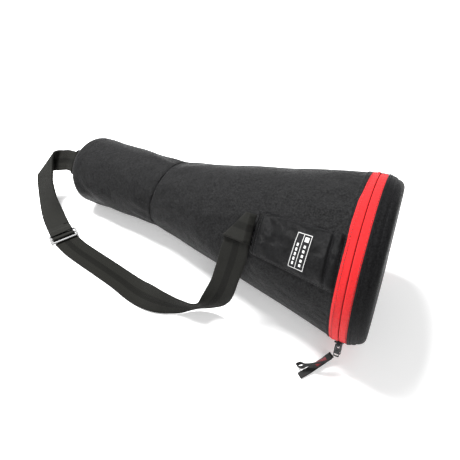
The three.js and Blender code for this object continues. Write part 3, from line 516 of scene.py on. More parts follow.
BODY_CLOTH = cloth("body_cloth", (0.0115, 0.0115, 0.0118), speckle=0.75, sheen=0.004, rough=0.45,
                   specular=0.03, crease=0.5)
LID_CLOTH = cloth("lid_cloth", (0.0085, 0.0085, 0.009), speckle=0.6, sheen=0.004, rough=0.45,
                  specular=0.03, crease=0.08)
PANEL_CLOTH = cloth("panel_cloth", (0.0045, 0.0045, 0.0048), speckle=0.7, sheen=0.003, rough=0.35,
                    specular=0.08, crease=0.45)
LINING_CLOTH = cloth("lining_cloth", (0.22, 0.22, 0.225), thread=0.0006, bump=0.2, rough=0.7)
BINDING_CLOTH = cloth("binding_cloth", (0.012, 0.012, 0.013), thread=0.0012, bump=0.5, sheen=0.05)
RED_TAPE = cloth("red_tape", (0.56, 0.014, 0.016), thread=0.0011, bump=0.5, sheen=0.06, rough=0.6,
                 speckle=0.16, worn=1.1)
RED_COIL = metal("red_coil", (0.45, 0.02, 0.025), 0.4, 0.0)
RED_THREAD = cloth("red_thread", (0.20, 0.015, 0.018), thread=0.0008, bump=0.8, speckle=0.3)
DARK_THREAD = cloth("dark_thread", (0.008, 0.008, 0.009), thread=0.0007, bump=0.6, sheen=0.02)
GREY_THREAD = cloth("grey_thread", (0.055, 0.055, 0.055), thread=0.0007, bump=0.6, sheen=0.01)
STRAP_WEB = webbing("strap_web", (0.012, 0.012, 0.0105), stripe=(18, 30, 0.75), sheen=0.006)
RETURN_WEB = webbing("return_web", (0.016, 0.016, 0.0145), sheen=0.006)
TAB_WEB = webbing("tab_web", (0.007, 0.007, 0.0065), sheen=0.02)
PULL_WEB = webbing("pull_web", (0.03, 0.03, 0.03), sheen=0.05)
BLACK_METAL = metal("black_metal", (0.03, 0.03, 0.032), 0.38, 0.7)
BRIGHT_METAL = metal("bright_metal", (0.16, 0.16, 0.16), 0.42, 1.0)
LABEL_CLOTH = cloth("label_cloth", (0.012, 0.012, 0.013), thread=0.0005, bump=0.3, sheen=0.03)
LABEL_PRINT = cloth("label_print", (0.72, 0.72, 0.71), thread=0.0005, bump=0.3, speckle=0.08, worn=1.05)


# ---- small pieces ----
# A stitch's rings of thread: how far along it, how thick beside its middle, and how far out.
STITCH_RINGS = ((0, 0.35, -0.15), (0.18, 0.9, 0.12), (0.5, 1.0, 0.25), (0.82, 0.9, 0.12), (1, 0.35, -0.15))
STITCH_SIDES = 6


def at_run(spot, run, values):
    return np.array([np.interp(spot, run, values[:, k]) for k in range(3)])


def stitches(name, points, normals, material, body, length=3.4, gap=1.5, thick=0.38):
    """A row of thread stitches laid along points on a surface with those normals, as one mesh."""
    points, normals = np.asarray(points, float), unit(normals)
    run = lengths(points)
    vertices, faces = [], []
    spot = gap
    while spot + length < run[-1]:
        ends = [at_run(spot + d, run, points) for d in (0, length)]
        out = unit(at_run(spot + length / 2, run, normals))
        axis = unit(ends[1] - ends[0])
        side = np.cross(out, axis)
        start = len(vertices)
        for share, size, lift in STITCH_RINGS:
            centre = ends[0] + (ends[1] - ends[0]) * share + out * lift
            for k in range(STITCH_SIDES):
                turn = math.pi * k / 3
                vertices.append((centre + side * math.cos(turn) * thick * size
                                 + out * math.sin(turn) * thick * size * 0.8) * 0.001)
        for row in range(start, start + STITCH_SIDES * (len(STITCH_RINGS) - 1), STITCH_SIDES):
            for k in range(STITCH_SIDES):
                a, b = row + k, row + (k + 1) % STITCH_SIDES
                faces.append((a, b, b + STITCH_SIDES, a + STITCH_SIDES))
        faces.append(tuple(range(start, start + STITCH_SIDES))[::-1])
        faces.append(tuple(range(row + STITCH_SIDES, row + 2 * STITCH_SIDES)))
        spot += length + gap
    mesh = bpy.data.meshes.new(name)
    mesh.from_pydata([tuple(v) for v in vertices], [], faces)
    mesh.uv_layers.new(name="UVMap")
    mesh.polygons.foreach_set("use_smooth", [True] * len(faces))
    obj = new_object(name, mesh, material)
    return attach(obj, body)


def seam_ring(name, along, radius, material, body, place, spread=(-90, 270), **how):
    angles = np.linspace(*spread, 361)
    points = place(along, radius, angles)
    higher = place(along, radius + 5, angles)
    normals = higher - points
    lying = np.linalg.norm(normals, axis=1) < 1
    normals[lying] = (0, 0, -1)
    return stitches(name, points, normals, material, body, **how)


def ripples(seed, waves, reach):
    """A fixed sum of gentle waves along and round the case, in millimetres."""
    draw = np.random.default_rng(seed)
    table = [(draw.uniform(0.6, 3.2) / reach, draw.integers(1, 7), draw.uniform(0, 6.28),
              draw.uniform(0.4, 1.0)) for _ in range(waves)]

    def height(along, angle):
        turn = np.radians(angle)
        return sum(a * np.sin(along * f * 6.28 + n * turn + p) for f, n, p, a in table) / waves
    return height


# ---- the case's covers ----
def near(along, centre, width):
    return np.exp(-((along - centre) / width) ** 2)


sleeve_waves = ripples(3, 9, 260.0)
flare_waves = ripples(5, 9, 420.0)


def seam_pucker(along, turn):
    return near(along, SEAM_X, 9) * 0.55 * np.sin(58 * turn + np.sin(5 * turn))


def sleeve_shape(along, angle):
    turn = np.radians(angle)
    body = near(along, 140, 110)
    drag = near(along, 225, 34) * 0.7 * np.sin(13 * turn + along * 0.05 + 1.2 * np.sin(3 * turn))
    end = near(along, 52, 22) * 0.6 * np.sin(11 * turn + 0.08 * along + np.sin(2 * turn))
    return sleeve_waves(along, angle) * 4.2 * body + seam_pucker(along, turn) + 1.5 * drag + 1.3 * end


def flare_shape(along, angle):
    turn = np.radians(angle)
    body = near(along, 440, 170)
    drag = near(along, 285, 38) * 0.9 * np.sin(12 * turn - along * 0.04 + 1.4 * np.sin(2 * turn))
    hem = near(along, 632, 10) * 0.25 * np.sin(70 * turn + 2 * np.sin(3 * turn))
    gather = near(along, 612, 26) * 1.1 * np.sin(17 * turn + 1.6 * np.sin(5 * turn))
    gather = gather * np.clip(np.sin(turn), 0, 1)
    return flare_waves(along, angle) * 4.6 * body + seam_pucker(along, turn) + 1.3 * drag + hem + gather


def make_sleeve_cover():
    flat = NARROW_RADIUS - SHOULDER_RADIUS
    corner = [(SHOULDER_RADIUS * (1 - math.sin(a)), flat + SHOULDER_RADIUS * math.cos(a))
              for a in np.linspace(math.pi / 2, 0, 14)]
    face = [(0.0, r) for r in np.linspace(0.6, flat - 2, 14)]
    run = [(x, float(outer_radius(x))) for x in np.linspace(32, SEAM_X - 7, 60)]
    seam = [(SEAM_X - 4, SEAM_RADIUS + 0.2), (SEAM_X - 2, SEAM_RADIUS), (SEAM_X - 0.9, SEAM_RADIUS - 0.5),
            (SEAM_X - 0.3, SEAM_RADIUS - 1.6), (SEAM_X - 0.3, SEAM_RADIUS - 5)]
    cover = revolved("sleeve_cover", face + corner + run + seam, BODY_CLOTH, on_case, sleeve_shape)
    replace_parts(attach(cover, "case"),
                "narrow_end_cap", "narrow_end_foam", "outer_sleeve", "foam_sleeve")
    seam_ring("sleeve_seam_stitch", SEAM_X - 5.5, SEAM_RADIUS + 0.4, DARK_THREAD, "case", on_case)
    seam_ring("end_seam_stitch", 31.5, NARROW_RADIUS + 0.2, DARK_THREAD, "case", on_case)


def make_flare_cover():
    seam = [(SEAM_X + 0.3, SEAM_RADIUS - 5), (SEAM_X + 0.3, SEAM_RADIUS - 1.6),
            (SEAM_X + 0.9, SEAM_RADIUS - 0.4), (SEAM_X + 2.2, SEAM_RADIUS + 0.4)]
    run = [(x, float(outer_radius(x))) for x in np.linspace(SEAM_X + 6, MOUTH_X - 22, 90)]
    edge = MOUTH_X - TAPE_EDGE
    hem = [(edge + x, MOUTH_RADIUS + r)
           for x, r in ((-4.5, 0.3), (-1, 0.9), (1.2, 1.0), (2.0, 0.6), (1.4, -0.1), (-1.5, -1.0))]
    cover = revolved("flare_cover", seam + run + hem, BODY_CLOTH, on_case, flare_shape, count=216)
    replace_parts(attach(cover, "case"), "outer_flare", "foam_flare")
    seam_ring("flare_seam_stitch", SEAM_X + 4.5, SEAM_RADIUS + 0.9, GREY_THREAD, "case", on_case, thick=0.5)
    seam_ring("hem_stitch", MOUTH_X - TAPE_EDGE - 4.2, MOUTH_RADIUS + 0.9, DARK_THREAD, "case", on_case)


def make_lid_cover():
    bevel = 14.0
    corner = LID_FACE_RADIUS - bevel + 4
    side = [(13.2, 142.0), (12.2, 144.6), (12.6, 146.3), (14.2, 146.4), (16.5, 145.2), (19, 144.2),
            (22, 143.6), (25, 142.6)]
    rim = [(LID_DEPTH - bevel + bevel * math.sin(a), corner + bevel * math.cos(a))
           for a in np.linspace(0.12, 1.5, 14)]
    face = [(LID_DEPTH + 1.1 * (1 - (r / corner) ** 2), r) for r in np.linspace(corner - 4, 0.6, 26)]
    waves = ripples(11, 7, 60.0)

    def shape(along, angle):
        return 0.5 * waves(along, angle)

    cover = revolved("lid_cover", side + rim + face, LID_CLOTH, on_mouth, shape, count=192)
    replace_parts(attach(cover, "lid"), "lid_shell", "lid_foam")
    seam_ring("lid_hem_stitch", 17.4, 145.1, DARK_THREAD, "lid", on_mouth)


def make_lining():
    bottom, depth = 15.0, 12.0
    nearly = MOUTH_X - TAPE_EDGE - 1
    profile = [(bottom, r) for r in np.linspace(0.6, 52, 8)]
    profile += [(bottom + 3, 57), (bottom + 9, 63), (34, 67.5)]
    profile += [(x, float(outer_radius(x)) - depth) for x in np.linspace(44, nearly, 90)]
    profile += [(MOUTH_X - 8, MOUTH_RADIUS - depth - 1.2)]
    folds = ripples(21, 12, 160.0)

    def shape(along, angle):
        turn = np.radians(angle)
        seam = -0.9 * near(along, SEAM_X, 5)
        fine = 0.25 * np.sin(31 * turn + along * 0.03)
        return (folds(along, angle) * 1.4 - 0.7) * near(along, 330, 270) + seam + fine

    cloth_inside = revolved("lining_cloth_inside", profile, LINING_CLOTH,
                            lambda a, r, t: on_case(a, r, t, 12.0), shape, count=144)
    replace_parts(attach(cloth_inside, "case"), "lining")


def make_binding():
    outer, inner = 141.6, 129.0
    start, end = MOUTH_X - 9.5, MOUTH_X - 3.0
    middle, thick = (outer + inner) / 2, (outer - inner) / 2
    profile = [(start - 2, outer - 0.6), (start + 2, outer)]
    profile += [(end - 3.4 + 3.4 * math.sin(a), middle + thick * math.cos(a))
                for a in np.linspace(0.2, math.pi - 0.2, 12)]
    profile += [(start + 2, inner), (start - 2, inner + 0.6)]

    def shape(along, angle):
        return 0.25 * np.sin(np.radians(angle) * 60)

    ring = revolved("mouth_binding_roll", profile, BINDING_CLOTH,
                    lambda a, r, t: on_case(a, r, t, 1.5), shape)
    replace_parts(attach(ring, "case"), "mouth_binding")


def make_lid_lining():
    wall = 136.5
    profile = [(4.0, wall + 1.2), (4.2, wall - 0.4), (8, wall - 1), (14, wall - 1), (18.5, wall - 2.2),
               (21.5, wall - 6), (23.2, wall - 12)]
    profile += [(23.9, r) for r in np.linspace(wall - 20, 0.6, 26)]

    def shape(along, angle):
        return 0.4 * np.sin(np.radians(angle) * 36 + along * 0.4)

    def over_floor(along, radius, angle):
        return on_mouth(along, radius, angle, 5.5)

    cover = revolved("lid_lining_cloth", profile, LINING_CLOTH, over_floor, shape)
    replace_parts(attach(cover, "lid"), "lid_lining")
    seam_ring("lid_lining_stitch", 7.0, wall - 1.2, GREY_THREAD, "lid", over_floor)


# ---- the zipper ----
ZIP_SPREAD = (HINGE_ANGLE + HINGE_HALF - 360, HINGE_ANGLE - HINGE_HALF)
# The tape from its sewn edge over its rounded fold and back underneath, from the mouth's plane.
TAPE_PROFILE = [
    (15.5, 143.4), (14.6, 144.2), (13.0, 144.9), (10, 145.15), (7, 145.25), (4.5, 145.35), (2.4, 145.5),
    (1.3, 145.35), (0.65, 144.7), (0.4, 143.7), (0.55, 142.8), (1.5, 142.4), (4, 142.3), (9, 142.2),
    (13.5, 142.1),
]
HINGE_PROFILE = [
    (-16, 143.6), (-15, 144.6), (-12, 145.5), (-8, 145.7), (-4, 145.9), (-1.5, 146.0), (0, 145.7),
    (1.5, 146.0), (4, 145.9), (8, 145.7), (12, 145.5), (15, 144.6), (16, 143.6),
]


def make_zipper():
    for side, body, tape_node, coil_node in ((-1, "case", "body_zipper_tape", "body_zipper_coil"),
                                             (1, "lid", "lid_zipper_tape", "lid_zipper_coil")):
        shaped = [(side * x, r) for x, r in TAPE_PROFILE]

        def shape(along, angle):
            turn = np.radians(angle)
            gathered = 0.18 * np.sin(84 * turn) * near(abs(along), 7, 5)
            return gathered + 0.35 * np.sin(7 * turn + side) * near(abs(along), 9, 6)

        tape = revolved(f"{body}_zip_tape", shaped, RED_TAPE, on_mouth, shape, 260, ZIP_SPREAD)
        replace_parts(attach(tape, body), tape_node, coil_node)
        seam_ring(f"{body}_zip_stitch", side * 10.8, 145.35, RED_THREAD, body, on_mouth, spread=ZIP_SPREAD)
        make_coil(body, side)


def make_coil(body, side):
    """The nylon coil under the tape's folded edge: a flattened spiral run round the mouth."""
    turns, per_turn = 380, 8
    count = turns * per_turn
    share = np.linspace(0, 1, count)
    angle = ZIP_SPREAD[0] + (ZIP_SPREAD[1] - ZIP_SPREAD[0]) * share
    twist = share * turns * 2 * math.pi
    along = side * (2.1 - 1.5 * np.cos(twist))
    radius = 141.2 + 0.75 * np.sin(twist)
    centre = on_mouth(along, radius, angle, 0.5)
    forward = unit(np.gradient(centre, axis=0))
    out = unit(on_mouth(along, radius + 5, angle, -50) - on_mouth(along, radius, angle, -50))
    aside = np.cross(forward, out)
    points = np.stack([centre + 0.34 * (aside * math.cos(t) + out * math.sin(t))
                       for t in (0, 1.57, 3.14, 4.71)], axis=1)
    coil = grid(f"{body}_zip_coil", points, RED_COIL, closed_columns=True)
    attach(coil, body)


def make_hinge():
    angles = np.linspace(HINGE_ANGLE - HINGE_HALF - 0.5, HINGE_ANGLE + HINGE_HALF + 0.5, 46)
    places = range(len(HINGE_PROFILE))
    fine = np.array([[np.interp(i / 4, places, [p[k] for p in HINGE_PROFILE]) for k in (0, 1)]
                     for i in range(4 * (len(HINGE_PROFILE) - 1) + 1)])
    along, radius = fine[:, 0][:, None], fine[:, 1][:, None]
    wrinkle = 0.25 * np.sin(np.radians(angles)[None, :] * 40 + along * 0.5)
    outside = on_mouth(along, radius + wrinkle, angles[None, :])
    inside = on_mouth(along, radius - 2.4, angles[None, :])
    points = np.concatenate([outside, inside[::-1]], axis=0)
    cover = grid("hinge_cloth", points, BODY_CLOTH, closed_rows=True,
                 uv=(np.arange(len(points) + 1) * 1.0, np.radians(np.append(angles, angles[-1])) * 145))
    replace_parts(cover, "hinge_panel")
    centre = on_mouth(0, TAPE_RADIUS, HINGE_ANGLE) * 0.001
    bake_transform(cover)


# ---- the anchor panel and its label ----
def panel_height(u, v):
    """The padded panel's height over the fabric, from its stitched-down edges (u along, v round)."""
    end_u = np.minimum(u, 1 - u) * PANEL_LENGTH
    end_v = np.minimum(v, 1 - v) * PANEL_GIRTH
    x = u * PANEL_LENGTH
    lift = (1 - np.exp(-(end_u / 4.2) ** 1.6)) * (1 - np.exp(-(end_v / 5.0) ** 1.6))
    quilt = 1 - 0.45 * near(x, 128, 2.2) - 0.35 * near(x, 145, 3) - 0.6 * near(x, 8.5, 2.2)
    uneven = 1 + 0.06 * np.sin(9 * u + 5 * v) + 0.05 * np.sin(17 * v + 3)
    rumple = 0.5 * np.sin(19 * u + 11 * v + 2 * np.sin(7 * v)) + 0.35 * np.sin(31 * u - 8 * v)
    return 0.6 + (6.4 * quilt * uneven + rumple) * lift


def panel_place(u, v):
    return PANEL_X[0] + PANEL_LENGTH * u, PANEL_ANGLES[0] + (PANEL_ANGLES[1] - PANEL_ANGLES[0]) * v


def make_panel():
    us, vs = np.linspace(0, 1, 120), np.linspace(0, 1, 76)
    u, v = us[:, None], vs[None, :]
    ragged = 1.3 * np.exp(-u * 40) * (np.sin(v * 61) + 0.6 * np.sin(v * 23 + 2))
    along, angle = panel_place(u, v)
    along = along + ragged
    base = outer_radius(along)
    top = on_case(along, base + panel_height(u, v), angle)
    low = on_case(along, base - 0.8, angle)
    rim = [(i, 0) for i in range(len(us))] + [(len(us) - 1, j) for j in range(1, len(vs))]
    rim += [(i, len(vs) - 1) for i in range(len(us) - 2, -1, -1)]
    rim += [(0, j) for j in range(len(vs) - 2, 0, -1)]
    cover = grid("anchor_cover", top, PANEL_CLOTH, uv=(us * PANEL_LENGTH, vs * PANEL_GIRTH))
    skirt = np.array([[top[i, j], low[i, j]] for i, j in rim])
    edge = grid("anchor_edge", skirt, BINDING_CLOTH, closed_rows=True,
                uv=(np.arange(len(rim) + 1) * 1.2, [0, 3]))
    for piece in (cover, edge):
        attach(piece, "case")
    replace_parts(cover, "anchor_panel", "anchor_pad")

    def line(name, places, thread, **how):
        places = np.array(places)
        dense = np.linspace(0, len(places) - 1, 160)
        u1, v1 = (np.interp(dense, range(len(places)), w) for w in (places[:, 0], places[:, 1]))
        a, t = panel_place(u1, v1)
        r = outer_radius(a) + panel_height(u1, v1) + 0.15
        stitches(name, on_case(a, r, t), on_case(a, r + 5, t) - on_case(a, r, t), thread, "case", **how)

    line("anchor_stitch_end", [(0.058, 0.03), (0.058, 0.97)], GREY_THREAD, length=2.6, gap=1.2)
    line("anchor_stitch_row_a", [(0.877, 0.08), (0.877, 0.95)], DARK_THREAD)
    line("anchor_stitch_row_b", [(0.975, 0.25), (0.975, 0.8)], DARK_THREAD)
    line("anchor_stitch_edge", [(0.03, 0.045), (0.965, 0.045)], DARK_THREAD)
    line("anchor_stitch_top", [(0.03, 0.955), (0.965, 0.955)], DARK_THREAD)


def label_point(a, b, lift):
    """A point on the label: a and b from 0 to 1 along the case and round it."""
    along = LABEL_X[0] + (LABEL_X[1] - LABEL_X[0]) * a + 0.2 * (b - 0.5) * 23
    angle = LABEL_ANGLES[0] + (LABEL_ANGLES[1] - LABEL_ANGLES[0]) * b
    u = (along - PANEL_X[0]) / PANEL_LENGTH
    v = (angle - PANEL_ANGLES[0]) / (PANEL_ANGLES[1] - PANEL_ANGLES[0])
    return on_case(along, outer_radius(along) + panel_height(u, v) + lift, angle)


def make_label():
    a, b = np.linspace(0, 1, 16)[:, None], np.linspace(0, 1, 30)[None, :]
    edge = np.minimum(np.minimum(a, 1 - a) * 26, np.minimum(b, 1 - b) * 52)
    patch = grid("label_cloth_patch", label_point(a, b, 0.25 + 0.45 * (1 - np.exp(-edge * 1.5))), LABEL_CLOTH,
                 uv=(np.linspace(0, 26, 16), np.linspace(0, 52, 30)))
    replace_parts(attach(patch, "case"), "label_patch")

    def bar(name, a0, a1, b0, b1):
        aa, bb = np.linspace(a0, a1, 8)[:, None], np.linspace(b0, b1, 12)[None, :]
        piece = grid(name, label_point(aa, bb, 0.86), LABEL_PRINT,
                     uv=(np.linspace(0, 5, 8), np.linspace(0, 5, 12)))
        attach(piece, "case")

    for which, at in (("low", 0.05), ("middle", 0.45), ("high", 0.925)):
        bar(f"label_frame_{which}", at, at + 0.025, 0.03, 0.97)
    bar("label_frame_front", 0.05, 0.95, 0.03, 0.043)
    bar("label_frame_back", 0.05, 0.95, 0.957, 0.97)
    bar("label_mark_block", 0.58, 0.82, 0.78, 0.9)
    for i in range(5):
        bar(f"label_mark_{i}", 0.64, 0.76, 0.12 + 0.125 * i, 0.19 + 0.125 * i)
        bar(f"label_dash_{i}", 0.21, 0.31, 0.12 + 0.125 * i, 0.2 + 0.125 * i)


# ---- the strap ----
def make_strap():
    fold = RING_FOLD
    from_ring = [ring_place(a) for a in (-90, -45, 0, 45, 90)]
    from_ring += [fold.place(fold.start - 8), fold.place(fold.start)]
    leaving = [fold.place(fold.end), fold.place(fold.end + 8)]
    at_panel = [PANEL_FOLD.place(PANEL_FOLD.end), PANEL_FOLD.place(PANEL_FOLD.end + 3), PANEL_END]
    to_panel = leaving + STRAP_ROUTE
    to_panel += [PANEL_FOLD.place(PANEL_FOLD.start - 8), PANEL_FOLD.place(PANEL_FOLD.start)]
    stretches = [(fold, 60), (Route(to_panel), 240), (PANEL_FOLD, 60), (Route(at_panel), 10)]
    run, middle = strip("strap_webbing", stretches, STRAP_WEB)
    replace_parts(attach(run, "case"), "strap_run")
    loop, _ = strip("strap_ring_loop", [(Route(from_ring), 60)], STRAP_WEB)

    start = [ring_place(-90, 3), fold.place(fold.start - 8, LAYER), fold.place(fold.start, LAYER)]
    lying = Route(leaving + STRAP_ROUTE[:DOUBLED_PLACES])
    upper, _ = strip("strap_doubled_upper", [(Route(start), 16), (RING_FOLD_UPPER, 60)], RETURN_WEB)
    last, way = STRAP_ROUTE[DOUBLED_PLACES - 1]
    place, place_way = STRAP_ROUTE[ADJUSTER_PLACE]
    climb = [[[last[0], last[1], last[2] + LAYER], way]]
    climb += [[[place[0] + 0.93 * back, place[1] - 0.37 * back, height], place_way]
              for back, height in ((-27, 8), (-20, 10.8), (-12, 11.2), (-7.5, 11.2))]
    lower, _ = strip("strap_doubled_lower", [(Raised(lying, LAYER), 50), (Route(climb), 40)], RETURN_WEB)
    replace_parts(lower, "strap_return")

    ring_bar = placed(RING, (0, RING_WIDTH - RING_WIRE, 0)) * 0.001
    crease = placed(GROUND, fold.place(fold.start)[0]) * 0.001
    for piece in (loop, upper):
        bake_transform(piece)
    adjuster_at = placed(GROUND, place) * 0.001
    tail = placed(GROUND, STRAP_ROUTE[0][0]) * 0.001
    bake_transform(lower)
    return run, middle, [loop, upper, lower]


def make_strap_end():
    """The strap's end sewn round the adjuster's middle bar."""
    here = GROUND @ shifted(*STRAP_ROUTE[ADJUSTER_PLACE][0][:2], ADJUSTER_HEIGHT)
    here = here @ turned_z(math.radians(ADJUSTER_TURN))
    wide, tall = ADJUSTER_BAR / 2 + 1.1, ADJUSTER_THICKNESS / 2 + 1.1
    section = flat_section(24.5, 0.8, 0.7, 12)
    power = 0.72
    rows = []
    for turn in np.linspace(0, 2 * math.pi, 40, endpoint=False):
        c, s = math.cos(turn), math.sin(turn)
        y = math.copysign(abs(c) ** power, c)
        z = math.copysign(abs(s) ** power, s)
        rows.append([(x, y * (wide + h), ADJUSTER_THICKNESS / 2 + z * (tall + h)) for x, h in section])
    points = placed(here, np.array(rows))
    loop = grid("strap_end_loop", points, RETURN_WEB, closed_rows=True, closed_columns=True,
                uv=(np.arange(41) * 0.8, np.concatenate([np.linspace(0, 50, 14), np.linspace(50, 0, 13)])))
    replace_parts(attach(loop, "adjuster"), "strap_end")
    return loop


def make_ring():
    """The strap's ring: round wire bent into a rounded rectangle."""
    wire = RING_WIRE / 2
    half_long, half_wide, corner = RING_LENGTH / 2 - wire, RING_WIDTH / 2 - wire, 5.0
    path = []
    for cx, cy, start in ((1, 1, 0), (-1, 1, 90), (-1, -1, 180), (1, -1, 270)):
        for a in np.linspace(start, start + 90, 9):
            path.append((cx * (half_long - corner) + corner * math.cos(math.radians(a)),
                         cy * (half_wide - corner) + corner * math.sin(math.radians(a))))
    path = np.array(path)
    forward = unit(np.roll(path, -1, axis=0) - np.roll(path, 1, axis=0))
    out = np.stack([forward[:, 1], -forward[:, 0]], axis=1)
    points = np.array([[(*(p + o * wire * math.cos(t)), wire * math.sin(t))
                        for t in np.linspace(0, 2 * math.pi, 16, False)] for p, o in zip(path, out)])
    points[..., 1] += RING_WIDTH / 2 - RING_WIRE / 2
    ring = grid("strap_ring_wire", placed(RING, points), BLACK_METAL, closed_rows=True, closed_columns=True)
    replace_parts(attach(ring, "ring"), "strap_ring")


def make_ring_tab():
    """A strip of webbing sewn flat to the narrow end, with its loop round the ring's inner bar."""
    inward = -RING_FACE
    here = CASE @ from_axes(inward, (-1, 0, 0), RING_ACROSS, RING_FOOT) @ shifted(0, GAP, 0)
    centre, radius = TAB_LOOP_HEIGHT, 4.55
    path = [(38, 1.2), (30, 1.1), (20, 1.1), (10, 1.1), (4, 1.2)]
    path += [(radius * math.cos(t), centre + radius * math.sin(t))
             for t in np.linspace(-math.pi / 2 - 0.1, -2 * math.pi + 0.15, 22)]
    path += [(8, 4.4), (14, 3.2), (24, 3.2), (36, 3.3)]
    path = np.array(path)
    forward = unit(np.gradient(path, axis=0))
    normal = np.stack([-forward[:, 1], forward[:, 0]], axis=1)
    half = (STRAP_WIDTH - 1) / 2
    section = flat_section(half, 0.75, 0.7, 10)
    points = np.array([[(*(p + n * h), a) for a, h in section] for p, n in zip(path, normal)])
    tab = grid("ring_tab_webbing", placed(here, points), TAB_WEB, closed_columns=True, caps=True,
               uv=(lengths(path), np.array([a for a, _ in section] + [-half]) + half))
    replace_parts(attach(tab, "case"), "ring_tab")
    box = (((13, -21), (13, 21)), ((33, -21), (33, 21)), ((13, -21), (33, 21)), ((13, 21), (33, -21)))
    for i, (a, b) in enumerate(box):
        line = np.array([(a[0] + (b[0] - a[0]) * s, 4.15, a[1] + (b[1] - a[1]) * s)
                         for s in np.linspace(0, 1, 30)])
        world = placed(here, line)
        stitches(f"ring_tab_stitch_{i}", world, np.tile(-CASE[:3, 0], (30, 1)), GREY_THREAD, "case")


# ---- the pulls ----
PULL_BULGES = {"a": 0.5, "b": 3.2}


def make_pull(letter):
    """Doubled webbing: out along the route on one side, round the end and back on the other."""
    route = Route(PULL_ROUTES[letter])
    body = f"pull_{letter}"
    half_gap, rows, half = 0.62, 120, PULL_WIDTH / 2

    def point(share, across, height):
        spot = 1 - abs(2 * share - 1)
        side = 1 if share < 0.5 else -1
        open_up = half_gap + PULL_BULGES[letter] * math.exp(-((spot - 0.87) / 0.1) ** 2)
        closing = math.sqrt(max(0.0, 1 - max(0.0, (spot - 0.955) / 0.045) ** 2))
        middle, aside, up = route.frame(min(spot, 1.0))
        return middle + aside * across + up * (side * open_up * closing + side * height)

    section = flat_section(half, 0.5, 0.5, 6)
    points = np.array([[point(i / rows, a, h) for a, h in section] for i in range(rows + 1)])
    world = placed(GROUND, points)
    world[..., 2] = np.maximum(world[..., 2], 0.35)
    strap = grid(f"pull_strap_{letter}", world, PULL_WEB, closed_columns=True, caps=True,
                 uv=(lengths(world.mean(axis=1)), np.array([a for a, _ in section] + [-half]) + half))
    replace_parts(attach(strap, body), f"pull_webbing_{letter}")
    shares = np.linspace(0.16, 0.52, 26)
    lift = PULL_THICKNESS / 2 + 0.35
    bar = np.array([[route.point(s, a, lift + 0.45 * (1 - (a / 2.7) ** 4) * (0.75 + 0.25 * math.cos(s * 900)))
                     for a in np.linspace(-2.6, 2.6, 9)] for s in shares])
    patch = grid(f"pull_stitch_bar_{letter}", placed(GROUND, bar), RED_THREAD,
                 uv=(shares * 70, np.linspace(0, 5, 9)))
    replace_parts(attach(patch, body), f"pull_patch_{letter}")


def refine(name, material, width=0.35, segments=2):
    """Keeps a CAD metal piece and rounds its edges."""
    obj = nodes[name]
    obj.data.materials.clear()
    obj.data.materials.append(material)
    flat = obj.modifiers.new("flat", "DECIMATE")
    flat.decimate_type = "DISSOLVE"
    flat.angle_limit = math.radians(2)
    round_off = obj.modifiers.new("round", "BEVEL")
    round_off.width = width * 0.001
    round_off.segments = segments
    round_off.limit_method = "ANGLE"
    round_off.angle_limit = math.radians(35)


make_sleeve_cover()
make_flare_cover()
make_lid_cover()
make_lining()
make_binding()
make_lid_lining()
make_zipper()
make_hinge()
make_panel()
make_label()
strap, strap_middle, strap_pieces = make_strap()
strap_end = make_strap_end()
make_ring()
make_ring_tab()
for which in "ab":
    make_pull(which)
    refine(f"slider_{which}", BLACK_METAL)
    refine(f"pull_tab_{which}", BLACK_METAL, 0.25)
    refine(f"zipper_end_stop_{which}", RED_COIL, 0.4)
refine("adjuster", BRIGHT_METAL, 0.5, 3)

strap_path = strap_middle * 0.001
tuple(strap_path[0])
float(lengths(strap_path)[-1])


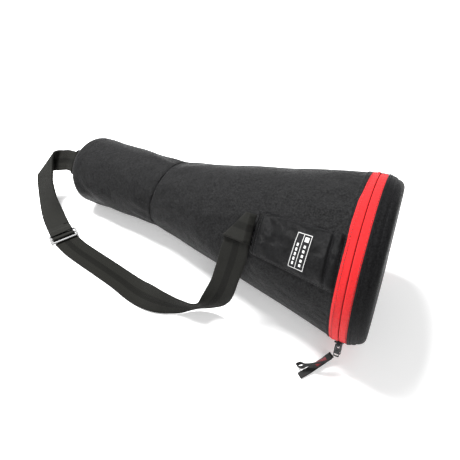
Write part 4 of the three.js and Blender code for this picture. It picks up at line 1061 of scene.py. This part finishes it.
# ---- studio ----
def make_studio():
    scene = bpy.context.scene
    world = bpy.data.worlds.new("studio")
    scene.world = world
    world.use_nodes = True
    world.node_tree.nodes["Background"].inputs[0].default_value = (1, 1, 1, 1)
    world.node_tree.nodes["Background"].inputs[1].default_value = 0.55
    mesh = bpy.data.meshes.new("floor")
    reach, under = 30.0, -0.0004
    corners = [(x * reach, y * reach, under) for x, y in ((-1, -1), (1, -1), (1, 1), (-1, 1))]
    mesh.from_pydata(corners, [], [(0, 1, 2, 3)])
    paper, _, shader = material("floor_paper")
    shader.inputs["Base Color"].default_value = (0.94, 0.94, 0.94, 1)
    shader.inputs["Roughness"].default_value = 0.9
    shader.inputs["Specular IOR Level"].default_value = 0.1
    shader.inputs["Emission Color"].default_value = (1, 1, 1, 1)
    shader.inputs["Emission Strength"].default_value = 0.3
    new_object("floor", mesh, paper)
    for name, at, aim, power, size in (("key_light", (-0.9, 0.1, 1.9), (0, 0, 0.1), 120.0, 0.8),
                                       ("side_light", (1.3, -1.4, 1.8), (0.1, 0, 0.1), 10.0, 1.0)):
        lamp = bpy.data.lights.new(name, "AREA")
        lamp.energy, lamp.size = power, size
        obj = bpy.data.objects.new(name, lamp)
        bpy.context.collection.objects.link(obj)
        obj.location = at
        z = unit(np.array(at) - np.array(aim))
        x = unit(np.cross((0, 1, 0.01), z))
        obj.rotation_mode = "QUATERNION"
        obj.matrix_world = matrix_of(from_axes(x, np.cross(z, x), z), at)
    scene.view_settings.view_transform = "Standard"
    make_camera()


def matrix_of(rotation, at):
    full = rotation.copy()
    full[:3, 3] = at
    return Matrix(full.tolist())


CAMERA_AT = (678.6, -458.5, 624.7)
CAMERA_AZIMUTH, CAMERA_ELEVATION = math.radians(-31.35), math.radians(44.52)


def make_camera():
    data = bpy.data.cameras.new("camera")
    data.sensor_width = 36.0
    data.lens = 28.58
    data.shift_x, data.shift_y = -0.0067, -0.0196
    data.clip_start, data.clip_end = 0.05, 60.0
    camera = bpy.data.objects.new("camera", data)
    bpy.context.collection.objects.link(camera)
    forward = np.array([math.sin(CAMERA_AZIMUTH) * math.cos(CAMERA_ELEVATION),
                        math.cos(CAMERA_AZIMUTH) * math.cos(CAMERA_ELEVATION), -math.sin(CAMERA_ELEVATION)])
    right = unit(np.cross(forward, (0, 0, 1)))
    camera.matrix_world = matrix_of(from_axes(right, np.cross(right, forward), -forward),
                                    placed(GROUND, CAMERA_AT) * 0.001)
    bpy.context.scene.camera = camera


make_studio()
